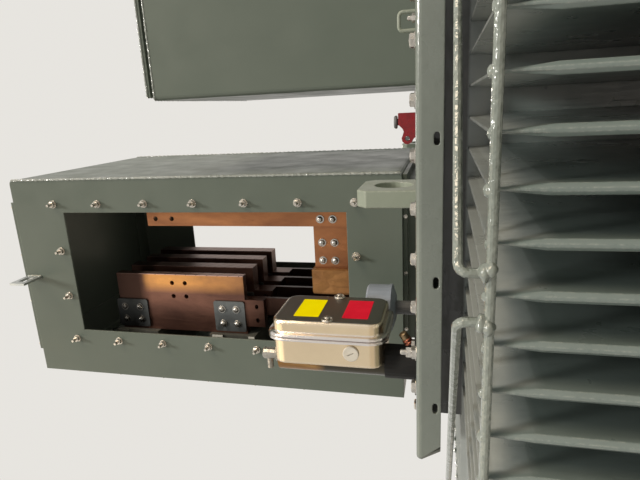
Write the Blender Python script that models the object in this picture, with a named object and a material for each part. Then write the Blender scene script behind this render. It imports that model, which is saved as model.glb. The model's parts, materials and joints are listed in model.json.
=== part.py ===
"""Hermetic power transformer with corrugated tank walls and two cable boxes on its cover.

Metres, +Z up. The origin is at the ground, at the middle of the footprint. -Y is the short end
with the lifting lug and the protection relay in front of the low-voltage box.
"""
import math

import bmesh
import bpy
from mathutils import Matrix, Vector

# Clearance between two pieces that touch, and the overshoot of a cutter past what it cuts
seat = 0.0003
reach = 0.02
bevel_margin = 0.0001

# Facets round a bent rod, and steps in each of its bends
rod_facets = 10
bend_steps = 4

# Cooling fins of the pressed tank walls
fin_pitch = 0.045
fin_thickness = 0.010
fin_edge_radius = 0.0035
fin_seam_thickness = 0.003
fin_seam_height = 0.012
fin_taper_height = 0.034
fin_margin = 0.0555
end_fin_count = 15
side_fin_count = 27
end_fin_depth = 0.3900
side_fin_depth = 0.2800
fin_bottom = 0.240
fin_height = 1.063
bar_diameter = 0.009
bar_drop = 0.003
bar_overhang = 0.012

# Tank
wall_thickness = 0.004
floor_thickness = 0.010
floor_ledge = 0.012
skid_height = 0.120
skid_flange = 0.055
skid_web = 0.007
skid_flange_thickness = 0.009
skid_spacing = 0.520
skid_overhang = 0.060

# Cover, a plate with its edges folded down, and the rim below it
cover_thickness = 0.006
cover_bend_radius = 0.009
cover_end_overhang = 0.055
cover_side_overhang = 0.064
cover_rise = 0.0763
apron_depth = 0.0403
apron_corner_cut = 0.026
slot_length = 0.020
slot_height = 0.0085
slot_pitch = 0.2186
slot_drop = 0.0308
rim_thickness = 0.010
rim_clearance = 0.004

# Bent rods that stay the upper fin bars
stay_rise = 0.0265
stay_bend_radius = 0.009
stay_foot_offset = 0.0218

# Low-voltage cable box
lv_width = 0.5675
lv_depth = 0.608
lv_height = 1.0635
lv_right = 0.0105
lv_wall = 0.004
lv_bend_radius = 0.012
front_window_width = 0.343
front_window_height = 0.7775
rear_window_width = 0.3191
rear_window_height = 0.7245
window_inset = 0.0902
window_rise = 0.130
turret_height = 0.0507
turret_width = 0.392
turret_depth = 0.520
turret_wall = 0.008
turret_flange = 0.024
turret_flange_thickness = 0.010
turret_right = 0.020
floor_opening_right = 0.150
top_plate_width = 0.448
top_plate_depth = 0.568
top_plate_thickness = 0.010
top_plate_left = 0.054
top_pad_height = 0.018
top_pad_inset = 0.012
top_opening_inset = 0.040
side_plate_thickness = 0.006
side_plate_border = 0.020
side_opening_inset = 0.035
side_pad_thickness = 0.006
side_pad_width = 0.250
side_pad_bottoms = (0.320, 0.574)
side_pad_height = 0.170
box_lug_thickness = 0.006
box_lug_reach = 0.067
box_lug_height = 0.047
box_lug_hole_width = 0.034
box_lug_hole_height = 0.022
box_lug_left = 0.288

# Copper work in the low-voltage box
busbar_thicknesses = (0.022, 0.038, 0.038, 0.038)
busbar_pitch = 0.085
busbar_setback = 0.0945
busbar_width = 0.1707
busbar_height = 0.3944
busbar_left = 0.1098
busbar_rise = 0.4416
tab_width = 0.079
tab_height = 0.0546
tab_inset = 0.023
tab_slot_pitch = 0.040
tab_slot_length = 0.015
tab_slot_height = 0.010
tab_slot_rise = 0.021
palm_hole_diameter = 0.0135
palm_hole_pitch = 0.040
palm_hole_inset = 0.0255
palm_hole_drop = 0.177
riser_width = 0.050
riser_thickness = 0.010
riser_bite = 0.001
riser_lap = 0.130
support_rises = (0.415, 0.715)
support_height = 0.137
support_rail = 0.041
support_post = 0.046
support_reach = 0.016
resin_thickness = 0.0134
strip_width = 0.039
strip_thickness = 0.010
strip_height = 0.684
strip_inset = 0.1075
strip_setback = 0.051
strip_hole_drops = (0.025, 0.073)
link_height = 0.1125
link_width = 0.1515
link_rise = 0.111
wrap_width = 0.067
wrap_height = 0.125
wrap_thickness = 0.040
wrap_edge_radius = 0.007

# High-voltage cable box
hv_left = 0.1963
hv_width = 0.3607
hv_height = 0.6425
hv_edge_radius = 0.009
hv_lid_thickness = 0.009
hv_lid_pad = 0.013
hv_lid_inset = 0.009
hv_opening_inset = 0.045

# Lifting lugs at the two short ends
lug_thickness = 0.031
lug_length = 0.133
lug_height = 0.1094
lug_setback = 0.115
lug_corner = 0.017
lug_hole_diameter = 0.071
lug_hole_rise = 0.0484
lug_edge = 0.0015

# Protection relay, a deep-drawn case with a rolled rim and a lid
relay_left = -0.3162
relay_front = -0.6055
relay_depth = 0.1405
relay_height = 0.2138
relay_case_length = 0.0516
relay_lid_length = 0.0240
relay_rim_width = 0.0070
relay_rim_reach = 0.0100
relay_rim_slope = 0.001
relay_rim_roll = 0.0018
relay_rim_share = 0.6
relay_corner_radius = 0.024
relay_edge_radius = 0.006
neck_center = (-0.3240, -0.5500)
neck_diameter = 0.066
neck_height = 0.0644
neck_plate_left = -0.3620
neck_plate_width = 0.140
neck_plate_front = -0.6150
neck_plate_depth = 0.115
neck_plate_height = 0.006
neck_plate_corner = 0.015
chamber_diameter = 0.058
tap_diameter = 0.024
tap_height = 0.0386
tap_nut_diameter = 0.030
tap_nut_height = 0.010
tap_edge = 0.0025
tap_knob_diameter = 0.013
tap_knob_reach = 0.032
relay_edge_share = 0.3

# Small fittings on the cover
cap_center = (-0.2733, -0.4010)
cap_diameter = 0.100
cap_height = 0.054
cap_lip = 0.0015
cap_lip_height = 0.006
cap_cone_height = 0.008
cap_cone_diameter = 0.058
cap_crown = 0.004
post_diameter = 0.030
post_height = 0.0580
valve_left = 0.0870
valve_front = -0.4950
valve_thickness = 0.024
valve_length = 0.056
valve_height = 0.041
valve_ring_diameter = 0.021
valve_ring_drop = 0.006
valve_hole_diameter = 0.009
valve_head_length = 0.020
valve_head_step = 0.008
valve_neck_slope = 0.002
staple_center = (0.2805, -0.6100)
staple_width = 0.033
staple_height = 0.0310
staple_rod_diameter = 0.006
staple_bend_radius = 0.006

# Sizes that follow from the ones above
tank_width = (end_fin_count - 1) * fin_pitch + 2 * fin_margin
tank_length = (side_fin_count - 1) * fin_pitch + 2 * fin_margin
bar_height = fin_bottom + fin_height - bar_drop
cover_top = bar_height + bar_drop + cover_rise
cover_half_width = tank_width / 2 + cover_side_overhang
cover_half_length = tank_length / 2 + cover_end_overhang
cover_seat = cover_top + seat
rim_top = cover_top - cover_thickness - seat
rim_bottom = rim_top - rim_thickness
floor_top = skid_height + seat + floor_thickness
lv_left = lv_right - lv_width
lv_bottom = cover_top + turret_height
lv_top = lv_bottom + lv_height
lv_front = -lv_depth / 2
lv_floor = lv_bottom + lv_wall
lv_back = lv_depth / 2
window_right = lv_right - window_inset
window_sill = lv_bottom + window_rise
busbar_left_edge = lv_left + busbar_left


def clear_scene():
    for obj in list(bpy.data.objects):
        bpy.data.objects.remove(obj, do_unlink=True)


def finish(name, color, metallic, roughness):
    material = bpy.data.materials.new(name)
    material.use_nodes = True
    shader = material.node_tree.nodes["Principled BSDF"]
    shader.inputs["Base Color"].default_value = (*color, 1.0)
    shader.inputs["Metallic"].default_value = metallic
    shader.inputs["Roughness"].default_value = roughness
    material.diffuse_color = (*color, 1.0)
    return material


def add_object(name, bm, material, smooth=None):
    """Put a bmesh into the scene as one named object, with normals pointing out."""
    bmesh.ops.recalc_face_normals(bm, faces=bm.faces)
    mesh = bpy.data.meshes.new(name)
    bm.to_mesh(mesh)
    bm.free()
    obj = bpy.data.objects.new(name, mesh)
    bpy.context.scene.collection.objects.link(obj)
    if material is not None:
        mesh.materials.append(material)
    if smooth is not None:
        mesh.shade_smooth()
        mesh.set_sharp_from_angle(angle=math.radians(smooth))
    return obj


def boolean(obj, operation, bm, name):
    """Cut or join a shape with an object through a live Boolean modifier."""
    tool = add_object(name, bm, None)
    tool.hide_render = True
    tool.display_type = "WIRE"
    modifier = obj.modifiers.new(name, "BOOLEAN")
    modifier.operation = operation
    modifier.object = tool


def add_box(bm, low, high):
    """Add an axis-aligned box and return its vertices."""
    size = [b - a for a, b in zip(low, high)]
    center = [(a + b) / 2 for a, b in zip(low, high)]
    matrix = Matrix.Translation(center) @ Matrix.Diagonal((*size, 1.0))
    return bmesh.ops.create_cube(bm, size=1.0, matrix=matrix)["verts"]


def box(low, high):
    bm = bmesh.new()
    add_box(bm, low, high)
    return bm


def bevel_where(bm, chosen, radius, segments=2):
    """Bevel the edges that the test function picks out by their two end points."""
    edges = [edge for edge in bm.edges if chosen(edge.verts[0].co, edge.verts[1].co)]
    bmesh.ops.bevel(bm, geom=edges, offset=radius, segments=segments, profile=0.5, affect="EDGES")


def is_vertical(a, b):
    return (a.xy - b.xy).length < bevel_margin


def is_along_y(a, b):
    return (a.xz - b.xz).length < bevel_margin


def arc(center, radius, start, stop, steps):
    """Points on an arc in a plane, angles in degrees."""
    points = []
    for step in range(steps + 1):
        angle = math.radians(start + (stop - start) * step / steps)
        points.append((center[0] + radius * math.cos(angle), center[1] + radius * math.sin(angle)))
    return points


def rounded_rectangle(half_width, half_height, radius, steps):
    """Outline of a rounded rectangle about the origin, anticlockwise."""
    points = []
    corners = ((1, 1, 0), (-1, 1, 90), (-1, -1, 180), (1, -1, 270))
    for side, level, start in corners:
        center = (side * (half_width - radius), level * (half_height - radius))
        points += arc(center, radius, start, start + 90, steps)
    return points


def prism(outline, place, thickness, direction):
    """Extrude a flat outline; place turns an outline point into a point in space."""
    bm = bmesh.new()
    face = bm.faces.new([bm.verts.new(place(*point)) for point in outline])
    made = bmesh.ops.extrude_face_region(bm, geom=[face])["geom"]
    moved = [item for item in made if isinstance(item, bmesh.types.BMVert)]
    bmesh.ops.translate(bm, verts=moved, vec=Vector(direction) * thickness)
    return bm


def loft(rings):
    """Close a solid over a row of rings with equal point counts."""
    bm = bmesh.new()
    loops = [[bm.verts.new(point) for point in ring] for ring in rings]
    count = len(loops[0])
    for lower, upper in zip(loops, loops[1:]):
        for index in range(count):
            following = (index + 1) % count
            bm.faces.new((lower[index], lower[following], upper[following], upper[index]))
    bm.faces.new(list(reversed(loops[0])))
    bm.faces.new(loops[-1])
    return bm


def turned(profile, center, segments):
    """Solid of revolution about a vertical axis; profile runs from axis to axis as (radius, z)."""
    bm = bmesh.new()
    verts = [bm.verts.new((center[0] + radius, center[1], z)) for radius, z in profile]
    edges = [bm.edges.new(pair) for pair in zip(verts, verts[1:])]
    bmesh.ops.spin(bm, geom=verts + edges, cent=(*center, 0), axis=(0, 0, 1), dvec=(0, 0, 0),
                   angle=math.tau, steps=segments, use_merge=True, use_duplicate=False)
    bmesh.ops.remove_doubles(bm, verts=bm.verts, dist=1e-6)
    return bm


def cylinder(center, diameter, length, axis, segments=16):
    """Cylinder about its centre point, along X, Y or Z."""
    turn = {"X": Matrix.Rotation(math.pi / 2, 4, "Y"), "Y": Matrix.Rotation(math.pi / 2, 4, "X"),
            "Z": Matrix.Identity(4)}[axis]
    bm = bmesh.new()
    bmesh.ops.create_cone(bm, cap_ends=True, segments=segments, radius1=diameter / 2,
                          radius2=diameter / 2, depth=length, matrix=Matrix.Translation(center) @ turn)
    return bm


def merge(*shapes):
    """Put several separate shapes into one bmesh, for a cutter."""
    whole = bmesh.new()
    for shape in shapes:
        mesh = bpy.data.meshes.new("piece")
        shape.to_mesh(mesh)
        shape.free()
        whole.from_mesh(mesh)
        bpy.data.meshes.remove(mesh)
    return whole


def bent_rod(name, corners, bend_radius, diameter, material):
    """Round rod through corner points in one upright plane, with every inner corner bent."""
    points = [Vector(corners[0])]
    side = (Vector(corners[1]) - Vector(corners[0])).cross(Vector(corners[2]) - Vector(corners[1]))
    side.normalize()
    for before, corner, after in zip(corners, corners[1:], corners[2:]):
        corner = Vector(corner)
        inward = (Vector(before) - corner).normalized()
        outward = (Vector(after) - corner).normalized()
        middle = corner + (inward + outward) * bend_radius
        for step in range(bend_steps + 1):
            turn = Matrix.Rotation(math.pi / 2 * step / bend_steps, 3, side)
            points.append(middle - turn @ (outward * bend_radius))
    points.append(Vector(corners[-1]))
    rings = []
    for index, point in enumerate(points):
        ahead = points[min(index + 1, len(points) - 1)] - point
        behind = point - points[max(index - 1, 0)]
        along = (ahead.normalized() + behind.normalized()).normalized()
        across = along.cross(side)
        angles = [math.tau * number / rod_facets for number in range(rod_facets)]
        rings.append([point + (side * math.cos(a) + across * math.sin(a)) * diameter / 2 for a in angles])
    return add_object(name, loft(rings), material, smooth=40)


def channel_outline():
    """Half outline of a rolled channel, web at the right, seen along its length."""
    return ((0, 0), (skid_flange, 0), (skid_flange, skid_height), (0, skid_height),
            (0, skid_height - skid_flange_thickness),
            (skid_flange - skid_web, skid_height - skid_flange_thickness),
            (skid_flange - skid_web, skid_flange_thickness), (0, skid_flange_thickness))


def build_skids(paint):
    """Two channels on the ground, webs towards the middle, under the tank floor."""
    length = tank_length + 2 * skid_overhang
    for name, side in (("left_skid", -1), ("right_skid", 1)):
        def place(x, z, side=side):
            return (side * (skid_spacing / 2 + skid_flange / 2 - x), -length / 2, z)
        add_object(name, prism(channel_outline(), place, length, (0, 1, 0)), paint)


def build_tank_floor(paint):
    half_width = tank_width / 2 + floor_ledge
    half_length = tank_length / 2 + floor_ledge
    add_object("tank_floor", box((-half_width, -half_length, skid_height + seat),
                                 (half_width, half_length, floor_top)), paint)


def fin_levels():
    """Heights at which a fin changes thickness, with the thickness at each."""
    top = fin_bottom + fin_height
    return ((fin_bottom, fin_seam_thickness), (fin_bottom + fin_seam_height, fin_seam_thickness),
            (fin_bottom + fin_seam_height + fin_taper_height, fin_thickness),
            (top - fin_seam_height - fin_taper_height, fin_thickness),
            (top - fin_seam_height, fin_seam_thickness), (top, fin_seam_thickness))


def build_fin_wall(name, count, length, depth, turn, distance, paint):
    """Pressed wall: a plate whose outer face is drawn out into deep fins pinched shut at their ends.

    The wall is made facing -Y with its outer face at the origin, then turned and moved out.
    """
    bm = box((-length / 2, 0, floor_top + seat), (length / 2, wall_thickness, rim_bottom - seat))
    centers = [(index - (count - 1) / 2) * fin_pitch for index in range(count)]
    levels = fin_levels()
    half = fin_thickness / 2
    cuts = [((x + side * half, 0, 0), (1, 0, 0)) for x in centers for side in (-1, 1)]
    cuts += [((0, 0, z), (0, 0, 1)) for z, _ in levels]
    for point, normal in cuts:
        faces = [face for face in bm.faces if face.normal.y < -0.9]
        edges = {edge for face in faces for edge in face.edges}
        verts = {vert for face in faces for vert in face.verts}
        bmesh.ops.bisect_plane(bm, geom=faces + list(edges) + list(verts), dist=1e-6,
                               plane_co=point, plane_no=normal)
    bottom, top = levels[0][0], levels[-1][0]
    fin_faces = {}
    for face in bm.faces:
        middle = face.calc_center_median()
        if face.normal.y > -0.9 or not bottom < middle.z < top:
            continue
        nearest = min(range(count), key=lambda index: abs(centers[index] - middle.x))
        if abs(centers[nearest] - middle.x) < half / 2:
            fin_faces.setdefault(nearest, []).append(face)
    thickness_at = {round(z, 5): thickness for z, thickness in levels}
    for index, faces in fin_faces.items():
        center = centers[index]
        for vert in {vert for face in faces for vert in face.verts}:
            vert.co.x = center + math.copysign(thickness_at[round(vert.co.z, 5)] / 2, vert.co.x - center)
        for step, narrower in ((depth - fin_edge_radius, 0.0), (fin_edge_radius, fin_edge_radius)):
            made = bmesh.ops.extrude_face_region(bm, geom=faces)["geom"]
            bmesh.ops.delete(bm, geom=faces, context="FACES")
            faces = [item for item in made if isinstance(item, bmesh.types.BMFace)]
            for vert in {vert for face in faces for vert in face.verts}:
                vert.co.y -= step
                reduce = narrower * (abs(vert.co.x - center) * 2 / fin_thickness)
                vert.co.x -= math.copysign(reduce, vert.co.x - center)
    bm.transform(Matrix.Rotation(turn, 4, "Z") @ Matrix.Translation((0, -distance, 0)))
    add_object(name, bm, paint)


def build_fin_walls(paint):
    quarter = math.pi / 2
    side_length = tank_length - 2 * wall_thickness - 2 * seat
    build_fin_wall("front_fin_wall", end_fin_count, tank_width, end_fin_depth, 0, tank_length / 2, paint)
    build_fin_wall("rear_fin_wall", end_fin_count, tank_width, end_fin_depth, 2 * quarter,
                   tank_length / 2, paint)
    build_fin_wall("left_fin_wall", side_fin_count, side_length, side_fin_depth, -quarter,
                   tank_width / 2, paint)
    build_fin_wall("right_fin_wall", side_fin_count, side_length, side_fin_depth, quarter,
                   tank_width / 2, paint)


def bar_lines():
    """Middle lines of the fin bars: name, half length, distance from the middle, axis."""
    lift = bar_diameter / 2 + seat
    end_half = (end_fin_count - 1) / 2 * fin_pitch + bar_overhang
    side_half = (side_fin_count - 1) / 2 * fin_pitch + bar_overhang
    end_distance = tank_length / 2 + end_fin_depth + lift
    side_distance = tank_width / 2 + side_fin_depth + lift
    return (("front", end_half, (0, -end_distance), "X"), ("rear", end_half, (0, end_distance), "X"),
            ("left", side_half, (-side_distance, 0), "Y"), ("right", side_half, (side_distance, 0), "Y"))


def build_bars(paint):
    """Round bars along the fins' outer edges, at their upper and lower ends."""
    heights = {"upper": bar_height, "lower": fin_bottom + bar_drop}
    for level, z in heights.items():
        for side, half, (x, y), axis in bar_lines():
            bar = cylinder((x, y, z), bar_diameter, 2 * half, axis, segments=12)
            add_object(f"{side}_{level}_bar", bar, paint, smooth=40)


def build_stays(paint):
    """Rods over the fins, from the middle of each end bar to the near end of each side bar."""
    lines = {side: (half, place) for side, half, place, _ in bar_lines()}
    foot = bar_height + bar_diameter / 2 + seat
    top = bar_height + stay_rise
    for end in ("front", "rear"):
        end_y = lines[end][1][1]
        for side, sign in (("left", -1), ("right", 1)):
            half, (side_x, _) = lines[side]
            start = Vector((sign * stay_foot_offset, end_y))
            stop = Vector((side_x, math.copysign(half - bar_overhang, end_y)))
            corners = ((*start, foot), (*start, top), (*stop, top), (*stop, foot))
            bent_rod(f"{end}_{side}_stay", corners, stay_bend_radius, bar_diameter, paint)


def build_rim(paint):
    """Flat rim on top of the walls, which the cover's aprons hang round."""
    inset = cover_thickness + rim_clearance
    outer = (cover_half_width - inset, cover_half_length - inset)
    inner = (tank_width / 2 - wall_thickness, tank_length / 2 - wall_thickness)
    rim = add_object("tank_rim", box((-outer[0], -outer[1], rim_bottom), (*outer, rim_top)), paint)
    hole = box((-inner[0], -inner[1], rim_bottom - reach), (*inner, rim_top + reach))
    boolean(rim, "DIFFERENCE", hole, "rim_opening")


def slot_prism(offset, along):
    """Oblong slot through both aprons that face along X or Y."""
    radius = slot_height / 2
    half = slot_length / 2 - radius
    outline = arc((half, 0), radius, -90, 90, 3) + arc((-half, 0), radius, 90, 270, 3)
    level = cover_top - slot_drop
    if along == "Y":
        start = -cover_half_length - reach
        return prism(outline, lambda a, b: (offset + a, start, level + b), -2 * start, (0, 1, 0))
    start = -cover_half_width - reach
    return prism(outline, lambda a, b: (start, offset + a, level + b), -2 * start, (1, 0, 0))


def build_cover(paint):
    """Plate with a rounded fold and a drawn-in apron on each side, open at the corners."""
    flat_x = cover_half_width - cover_bend_radius
    flat_y = cover_half_length - cover_bend_radius
    bm = bmesh.new()
    corners = ((-flat_x, -flat_y), (flat_x, -flat_y), (flat_x, flat_y), (-flat_x, flat_y))
    plate = bm.faces.new([bm.verts.new((x, y, cover_top)) for x, y in corners])
    for edge in list(plate.edges):
        middle = (edge.verts[0].co + edge.verts[1].co) / 2
        outward = Vector((middle.x, middle.y, 0)).normalized()
        along = Vector((-outward.y, outward.x, 0))
        reached = (0.0, 0.0)
        steps = [(cover_bend_radius * math.sin(angle), cover_bend_radius * (1 - math.cos(angle)))
                 for angle in (math.pi / 6, math.pi / 3, math.pi / 2)]
        steps.append((cover_bend_radius, apron_depth))
        for out, down in steps:
            made = bmesh.ops.extrude_edge_only(bm, edges=[edge])["geom"]
            edge = [item for item in made if isinstance(item, bmesh.types.BMEdge)
                    and len(item.link_faces) == 1 and all(v in made for v in item.verts)][0]
            shift = outward * (out - reached[0]) + Vector((0, 0, reached[1] - down))
            bmesh.ops.translate(bm, verts=list(edge.verts), vec=shift)
            reached = (out, down)
        for vert in edge.verts:
            vert.co -= along * math.copysign(apron_corner_cut, vert.co.dot(along))
    cover = add_object("cover", bm, paint, smooth=50)
    if cover.data.polygons[0].normal.z < 0:
        cover.data.flip_normals()
    solid = cover.modifiers.new("thickness", "SOLIDIFY")
    solid.thickness = cover_thickness
    solid.offset = -1
    end_slots = [slot_prism(step * slot_pitch, "Y") for step in (-1.5, -0.5, 0.5, 1.5)]
    side_slots = [slot_prism(step * slot_pitch, "X") for step in (-2.5, -1.5, -0.5, 0.5, 1.5, 2.5)]
    boolean(cover, "DIFFERENCE", merge(*end_slots), "end_slots")
    boolean(cover, "DIFFERENCE", merge(*side_slots), "side_slots")


def build_lv_turret(paint):
    """Low square frame between cover and low-voltage box, with a flange under the box."""
    left = -turret_right - turret_width
    half = turret_depth / 2
    top = lv_bottom - seat
    flange_bottom = top - turret_flange_thickness
    wall = box((left, -half, cover_seat), (-turret_right, half, top))
    turret = add_object("lv_turret", wall, paint)
    flange = box((left - turret_flange, -half - turret_flange, flange_bottom),
                 (-turret_right + turret_flange, half + turret_flange, top))
    boolean(turret, "UNION", flange, "turret_flange")
    hole = box((left + turret_wall, -half + turret_wall, cover_seat - reach),
               (-turret_right - turret_wall, half - turret_wall, top + reach))
    boolean(turret, "DIFFERENCE", hole, "turret_opening")


def build_resin_plate(resin):
    """Cast plate inside the turret, on which the copper risers stand."""
    inset = turret_wall + seat
    half = turret_depth / 2 - inset
    low = (-turret_right - turret_width + inset, -half, cover_seat)
    high = (-turret_right - inset, half, cover_seat + resin_thickness)
    add_object("lv_bushing_plate", box(low, high), resin)


def build_lv_box(paint):
    """Sheet box with a window at each end, open at its left side and roof under bolted plates."""
    bm = box((lv_left, lv_front, lv_bottom), (lv_right, lv_back, lv_top))
    bevel_where(bm, lambda a, b: is_along_y(a, b) and a.x > lv_right - bevel_margin, lv_bend_radius, 3)
    shell = add_object("lv_box_shell", bm, paint, smooth=40)
    inner = (lv_left + lv_wall, lv_front + lv_wall, lv_floor)
    outer = (lv_right - lv_wall, lv_back - lv_wall, lv_top - lv_wall)
    boolean(shell, "DIFFERENCE", box(inner, outer), "lv_hollow")
    front_window = box((window_right - front_window_width, lv_front - reach, window_sill),
                       (window_right, lv_front + lv_wall + reach, window_sill + front_window_height))
    rear_window = box((window_right - rear_window_width, lv_back - lv_wall - reach, window_sill),
                      (window_right, lv_back + reach, window_sill + rear_window_height))
    boolean(shell, "DIFFERENCE", merge(front_window, rear_window), "lv_windows")
    inset = side_opening_inset
    side = box((lv_left - reach, lv_front + inset, lv_bottom + inset),
               (lv_left + lv_wall + reach, lv_back - inset, lv_top - inset))
    boolean(shell, "DIFFERENCE", side, "lv_side_opening")
    left = lv_left + top_plate_left
    half = top_plate_depth / 2 - top_opening_inset
    roof = box((left + top_opening_inset, -half, lv_top - lv_wall - reach),
               (left + top_plate_width - top_opening_inset, half, lv_top + reach))
    boolean(shell, "DIFFERENCE", roof, "lv_roof_opening")
    half = turret_depth / 2 - turret_wall
    floor = box((-turret_right - turret_width + turret_wall, -half, lv_bottom - reach),
                (-floor_opening_right, half, lv_floor + reach))
    boolean(shell, "DIFFERENCE", floor, "lv_floor_opening")


def plate_on_pad(low, high, pad_height, pad_inset):
    """Plate with a narrower pad below it: the pad's foot is at the low corner's height."""
    bm = box((low[0] + pad_inset, low[1] + pad_inset, low[2]),
             (high[0] - pad_inset, high[1] - pad_inset, low[2] + pad_height))
    roof = [face for face in bm.faces if face.normal.z > 0.9]
    for offset, lift in ((pad_inset, 0.0), (0.0, high[2] - low[2] - pad_height)):
        made = bmesh.ops.extrude_face_region(bm, geom=roof)["geom"]
        bmesh.ops.delete(bm, geom=roof, context="FACES")
        roof = [item for item in made if isinstance(item, bmesh.types.BMFace)]
        middle = roof[0].calc_center_median()
        for vert in roof[0].verts:
            vert.co.x += math.copysign(offset, vert.co.x - middle.x)
            vert.co.y += math.copysign(offset, vert.co.y - middle.y)
            vert.co.z += lift
    return bm


def build_lv_plates(paint, zinc):
    """Roof plate, bolted left side plate with its two hatch plates, and the lug on the front."""
    left = lv_left + top_plate_left
    half = top_plate_depth / 2
    low = (left, -half, lv_top + seat)
    high = (left + top_plate_width, half, lv_top + seat + top_pad_height + top_plate_thickness)
    add_object("lv_box_top_plate", plate_on_pad(low, high, top_pad_height, top_pad_inset), paint)

    border = side_plate_border
    face = lv_left - seat
    low = (face - side_plate_thickness, lv_front + border, lv_bottom + border)
    side = add_object("lv_box_side_plate", box(low, (face, lv_back - border, lv_top - border)), paint)
    pads = [box((low[0] - side_pad_thickness, lv_front + border, lv_bottom + rise),
                (face - side_plate_thickness / 2, lv_front + border + side_pad_width,
                 lv_bottom + rise + side_pad_height)) for rise in side_pad_bottoms]
    boolean(side, "UNION", merge(*pads), "side_hatches")

    x = lv_left + box_lug_left
    low = (x, lv_front - box_lug_reach, lv_top - box_lug_height)
    lug = box(low, (x + box_lug_thickness, lv_front - seat, lv_top))
    lug = add_object("lv_box_front_lug", lug, zinc)
    middle_y = lv_front - box_lug_reach / 2
    middle_z = lv_top - box_lug_height / 2
    hole = box((x - reach, middle_y - box_lug_hole_width / 2, middle_z - box_lug_hole_height / 2),
               (x + box_lug_thickness + reach, middle_y + box_lug_hole_width / 2,
                middle_z + box_lug_hole_height / 2))
    boolean(lug, "DIFFERENCE", hole, "box_lug_hole")


def busbar_span(number):
    """Front and back of a busbar along Y."""
    middle = lv_front + busbar_setback + number * busbar_pitch
    half = busbar_thicknesses[number] / 2
    return middle - half, middle + half


def build_supports(laminate):
    """Two insulating frames on the box's side plate: a pair of rails with a post behind each busbar."""
    left = lv_left + seat
    right = busbar_left_edge - seat
    last = len(busbar_thicknesses) - 1
    front = busbar_span(0)[0] - support_reach
    back = busbar_span(last)[1] + support_reach
    middles = [sum(busbar_span(number)) / 2 for number in range(last + 1)]
    edges = [front - reach]
    for middle in middles:
        edges += [middle - support_post / 2, middle + support_post / 2]
    edges.append(back + reach)
    for name, rise in zip(("lv_lower_support", "lv_upper_support"), support_rises):
        low = lv_bottom + rise
        support = box((left, front, low), (right, back, low + support_height))
        support = add_object(name, support, laminate)
        gaps = [box((left - reach, start, low + support_rail),
                    (right + reach, stop, low + support_height - support_rail))
                for start, stop in zip(edges[::2], edges[1::2])]
        boolean(support, "DIFFERENCE", merge(*gaps), f"{name}_gaps")


def busbar_outline():
    """Front outline of a busbar: a wide plate with a narrow tab below its left part."""
    bottom = lv_bottom + busbar_rise
    left = busbar_left_edge
    tab = left + tab_inset
    return ((left, bottom), (tab, bottom), (tab, bottom - tab_height),
            (tab + tab_width, bottom - tab_height), (tab + tab_width, bottom),
            (left + busbar_width, bottom), (left + busbar_width, bottom + busbar_height),
            (left, bottom + busbar_height))


def build_busbars(copper):
    """Four plates one behind the other, each with a riser behind its tab down to the resin plate."""
    bottom = lv_bottom + busbar_rise
    tab_bottom = bottom - tab_height
    tab_right = busbar_left_edge + tab_inset + tab_width
    tab_middle = tab_right - tab_width / 2
    radius = tab_slot_height / 2
    half = tab_slot_length / 2 - radius
    slot = arc((half, 0), radius, -90, 90, 3) + arc((-half, 0), radius, 90, 270, 3)
    palm_right = busbar_left_edge + busbar_width - palm_hole_inset
    palm_top = bottom + busbar_height - palm_hole_drop
    for number, thickness in enumerate(busbar_thicknesses):
        front, back = busbar_span(number)
        plate = prism(busbar_outline(), lambda x, z: (x, front, z), thickness, (0, 1, 0))
        busbar = add_object(f"lv_busbar_{number + 1}", plate, copper)
        riser = box((tab_right - riser_width, back - riser_bite, cover_seat + resin_thickness + seat),
                    (tab_right, back + riser_thickness, tab_bottom + riser_lap))
        boolean(busbar, "UNION", riser, f"riser_{number + 1}")
        start = front - reach
        length = thickness + riser_thickness + 2 * reach
        cutters = []
        for x in (tab_middle - tab_slot_pitch / 2, tab_middle + tab_slot_pitch / 2):
            level = tab_bottom + tab_slot_rise
            cutters.append(prism(slot, lambda a, b: (x + a, start, level + b), length, (0, 1, 0)))
        for x in (palm_right, palm_right - palm_hole_pitch):
            for z in (palm_top, palm_top - palm_hole_pitch):
                center = (x, start + length / 2, z)
                cutters.append(cylinder(center, palm_hole_diameter, length, "Y", 10))
        boolean(busbar, "DIFFERENCE", merge(*cutters), f"busbar_holes_{number + 1}")


def build_neutral(copper, paper):
    """Upright neutral strip at the window's right edge, its cross link and the paper-wrapped end."""
    right = -strip_inset + strip_width / 2
    front = lv_front + strip_setback
    foot = lv_floor + seat
    low = (right - strip_width, front, foot)
    strip = add_object("lv_neutral_strip", box(low, (right, front + strip_thickness, foot + strip_height)),
                       copper)
    middle = right - strip_width / 2
    holes = [cylinder((middle, front, foot + strip_height - drop), palm_hole_diameter,
                      strip_thickness + 2 * reach, "Y", 10) for drop in strip_hole_drops]
    boolean(strip, "DIFFERENCE", merge(*holes), "strip_holes")

    link_front = front + strip_thickness + seat
    link_left = right - link_width
    bottom = lv_floor + link_rise
    link = box((link_left, link_front, bottom), (right, link_front + strip_thickness, bottom + link_height))
    add_object("lv_neutral_link", link, copper)

    wrap_right = link_left - seat
    wrap_middle = link_front + strip_thickness / 2
    top = bottom + (link_height + wrap_height) / 2
    wrap = box((wrap_right - wrap_width, wrap_middle - wrap_thickness / 2, top - wrap_height),
               (wrap_right, wrap_middle + wrap_thickness / 2, top))
    bevel_where(wrap, lambda a, b: max(a.x, b.x) < wrap_right - bevel_margin, wrap_edge_radius)
    add_object("lv_wrapped_end", wrap, paper, smooth=40)


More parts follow.
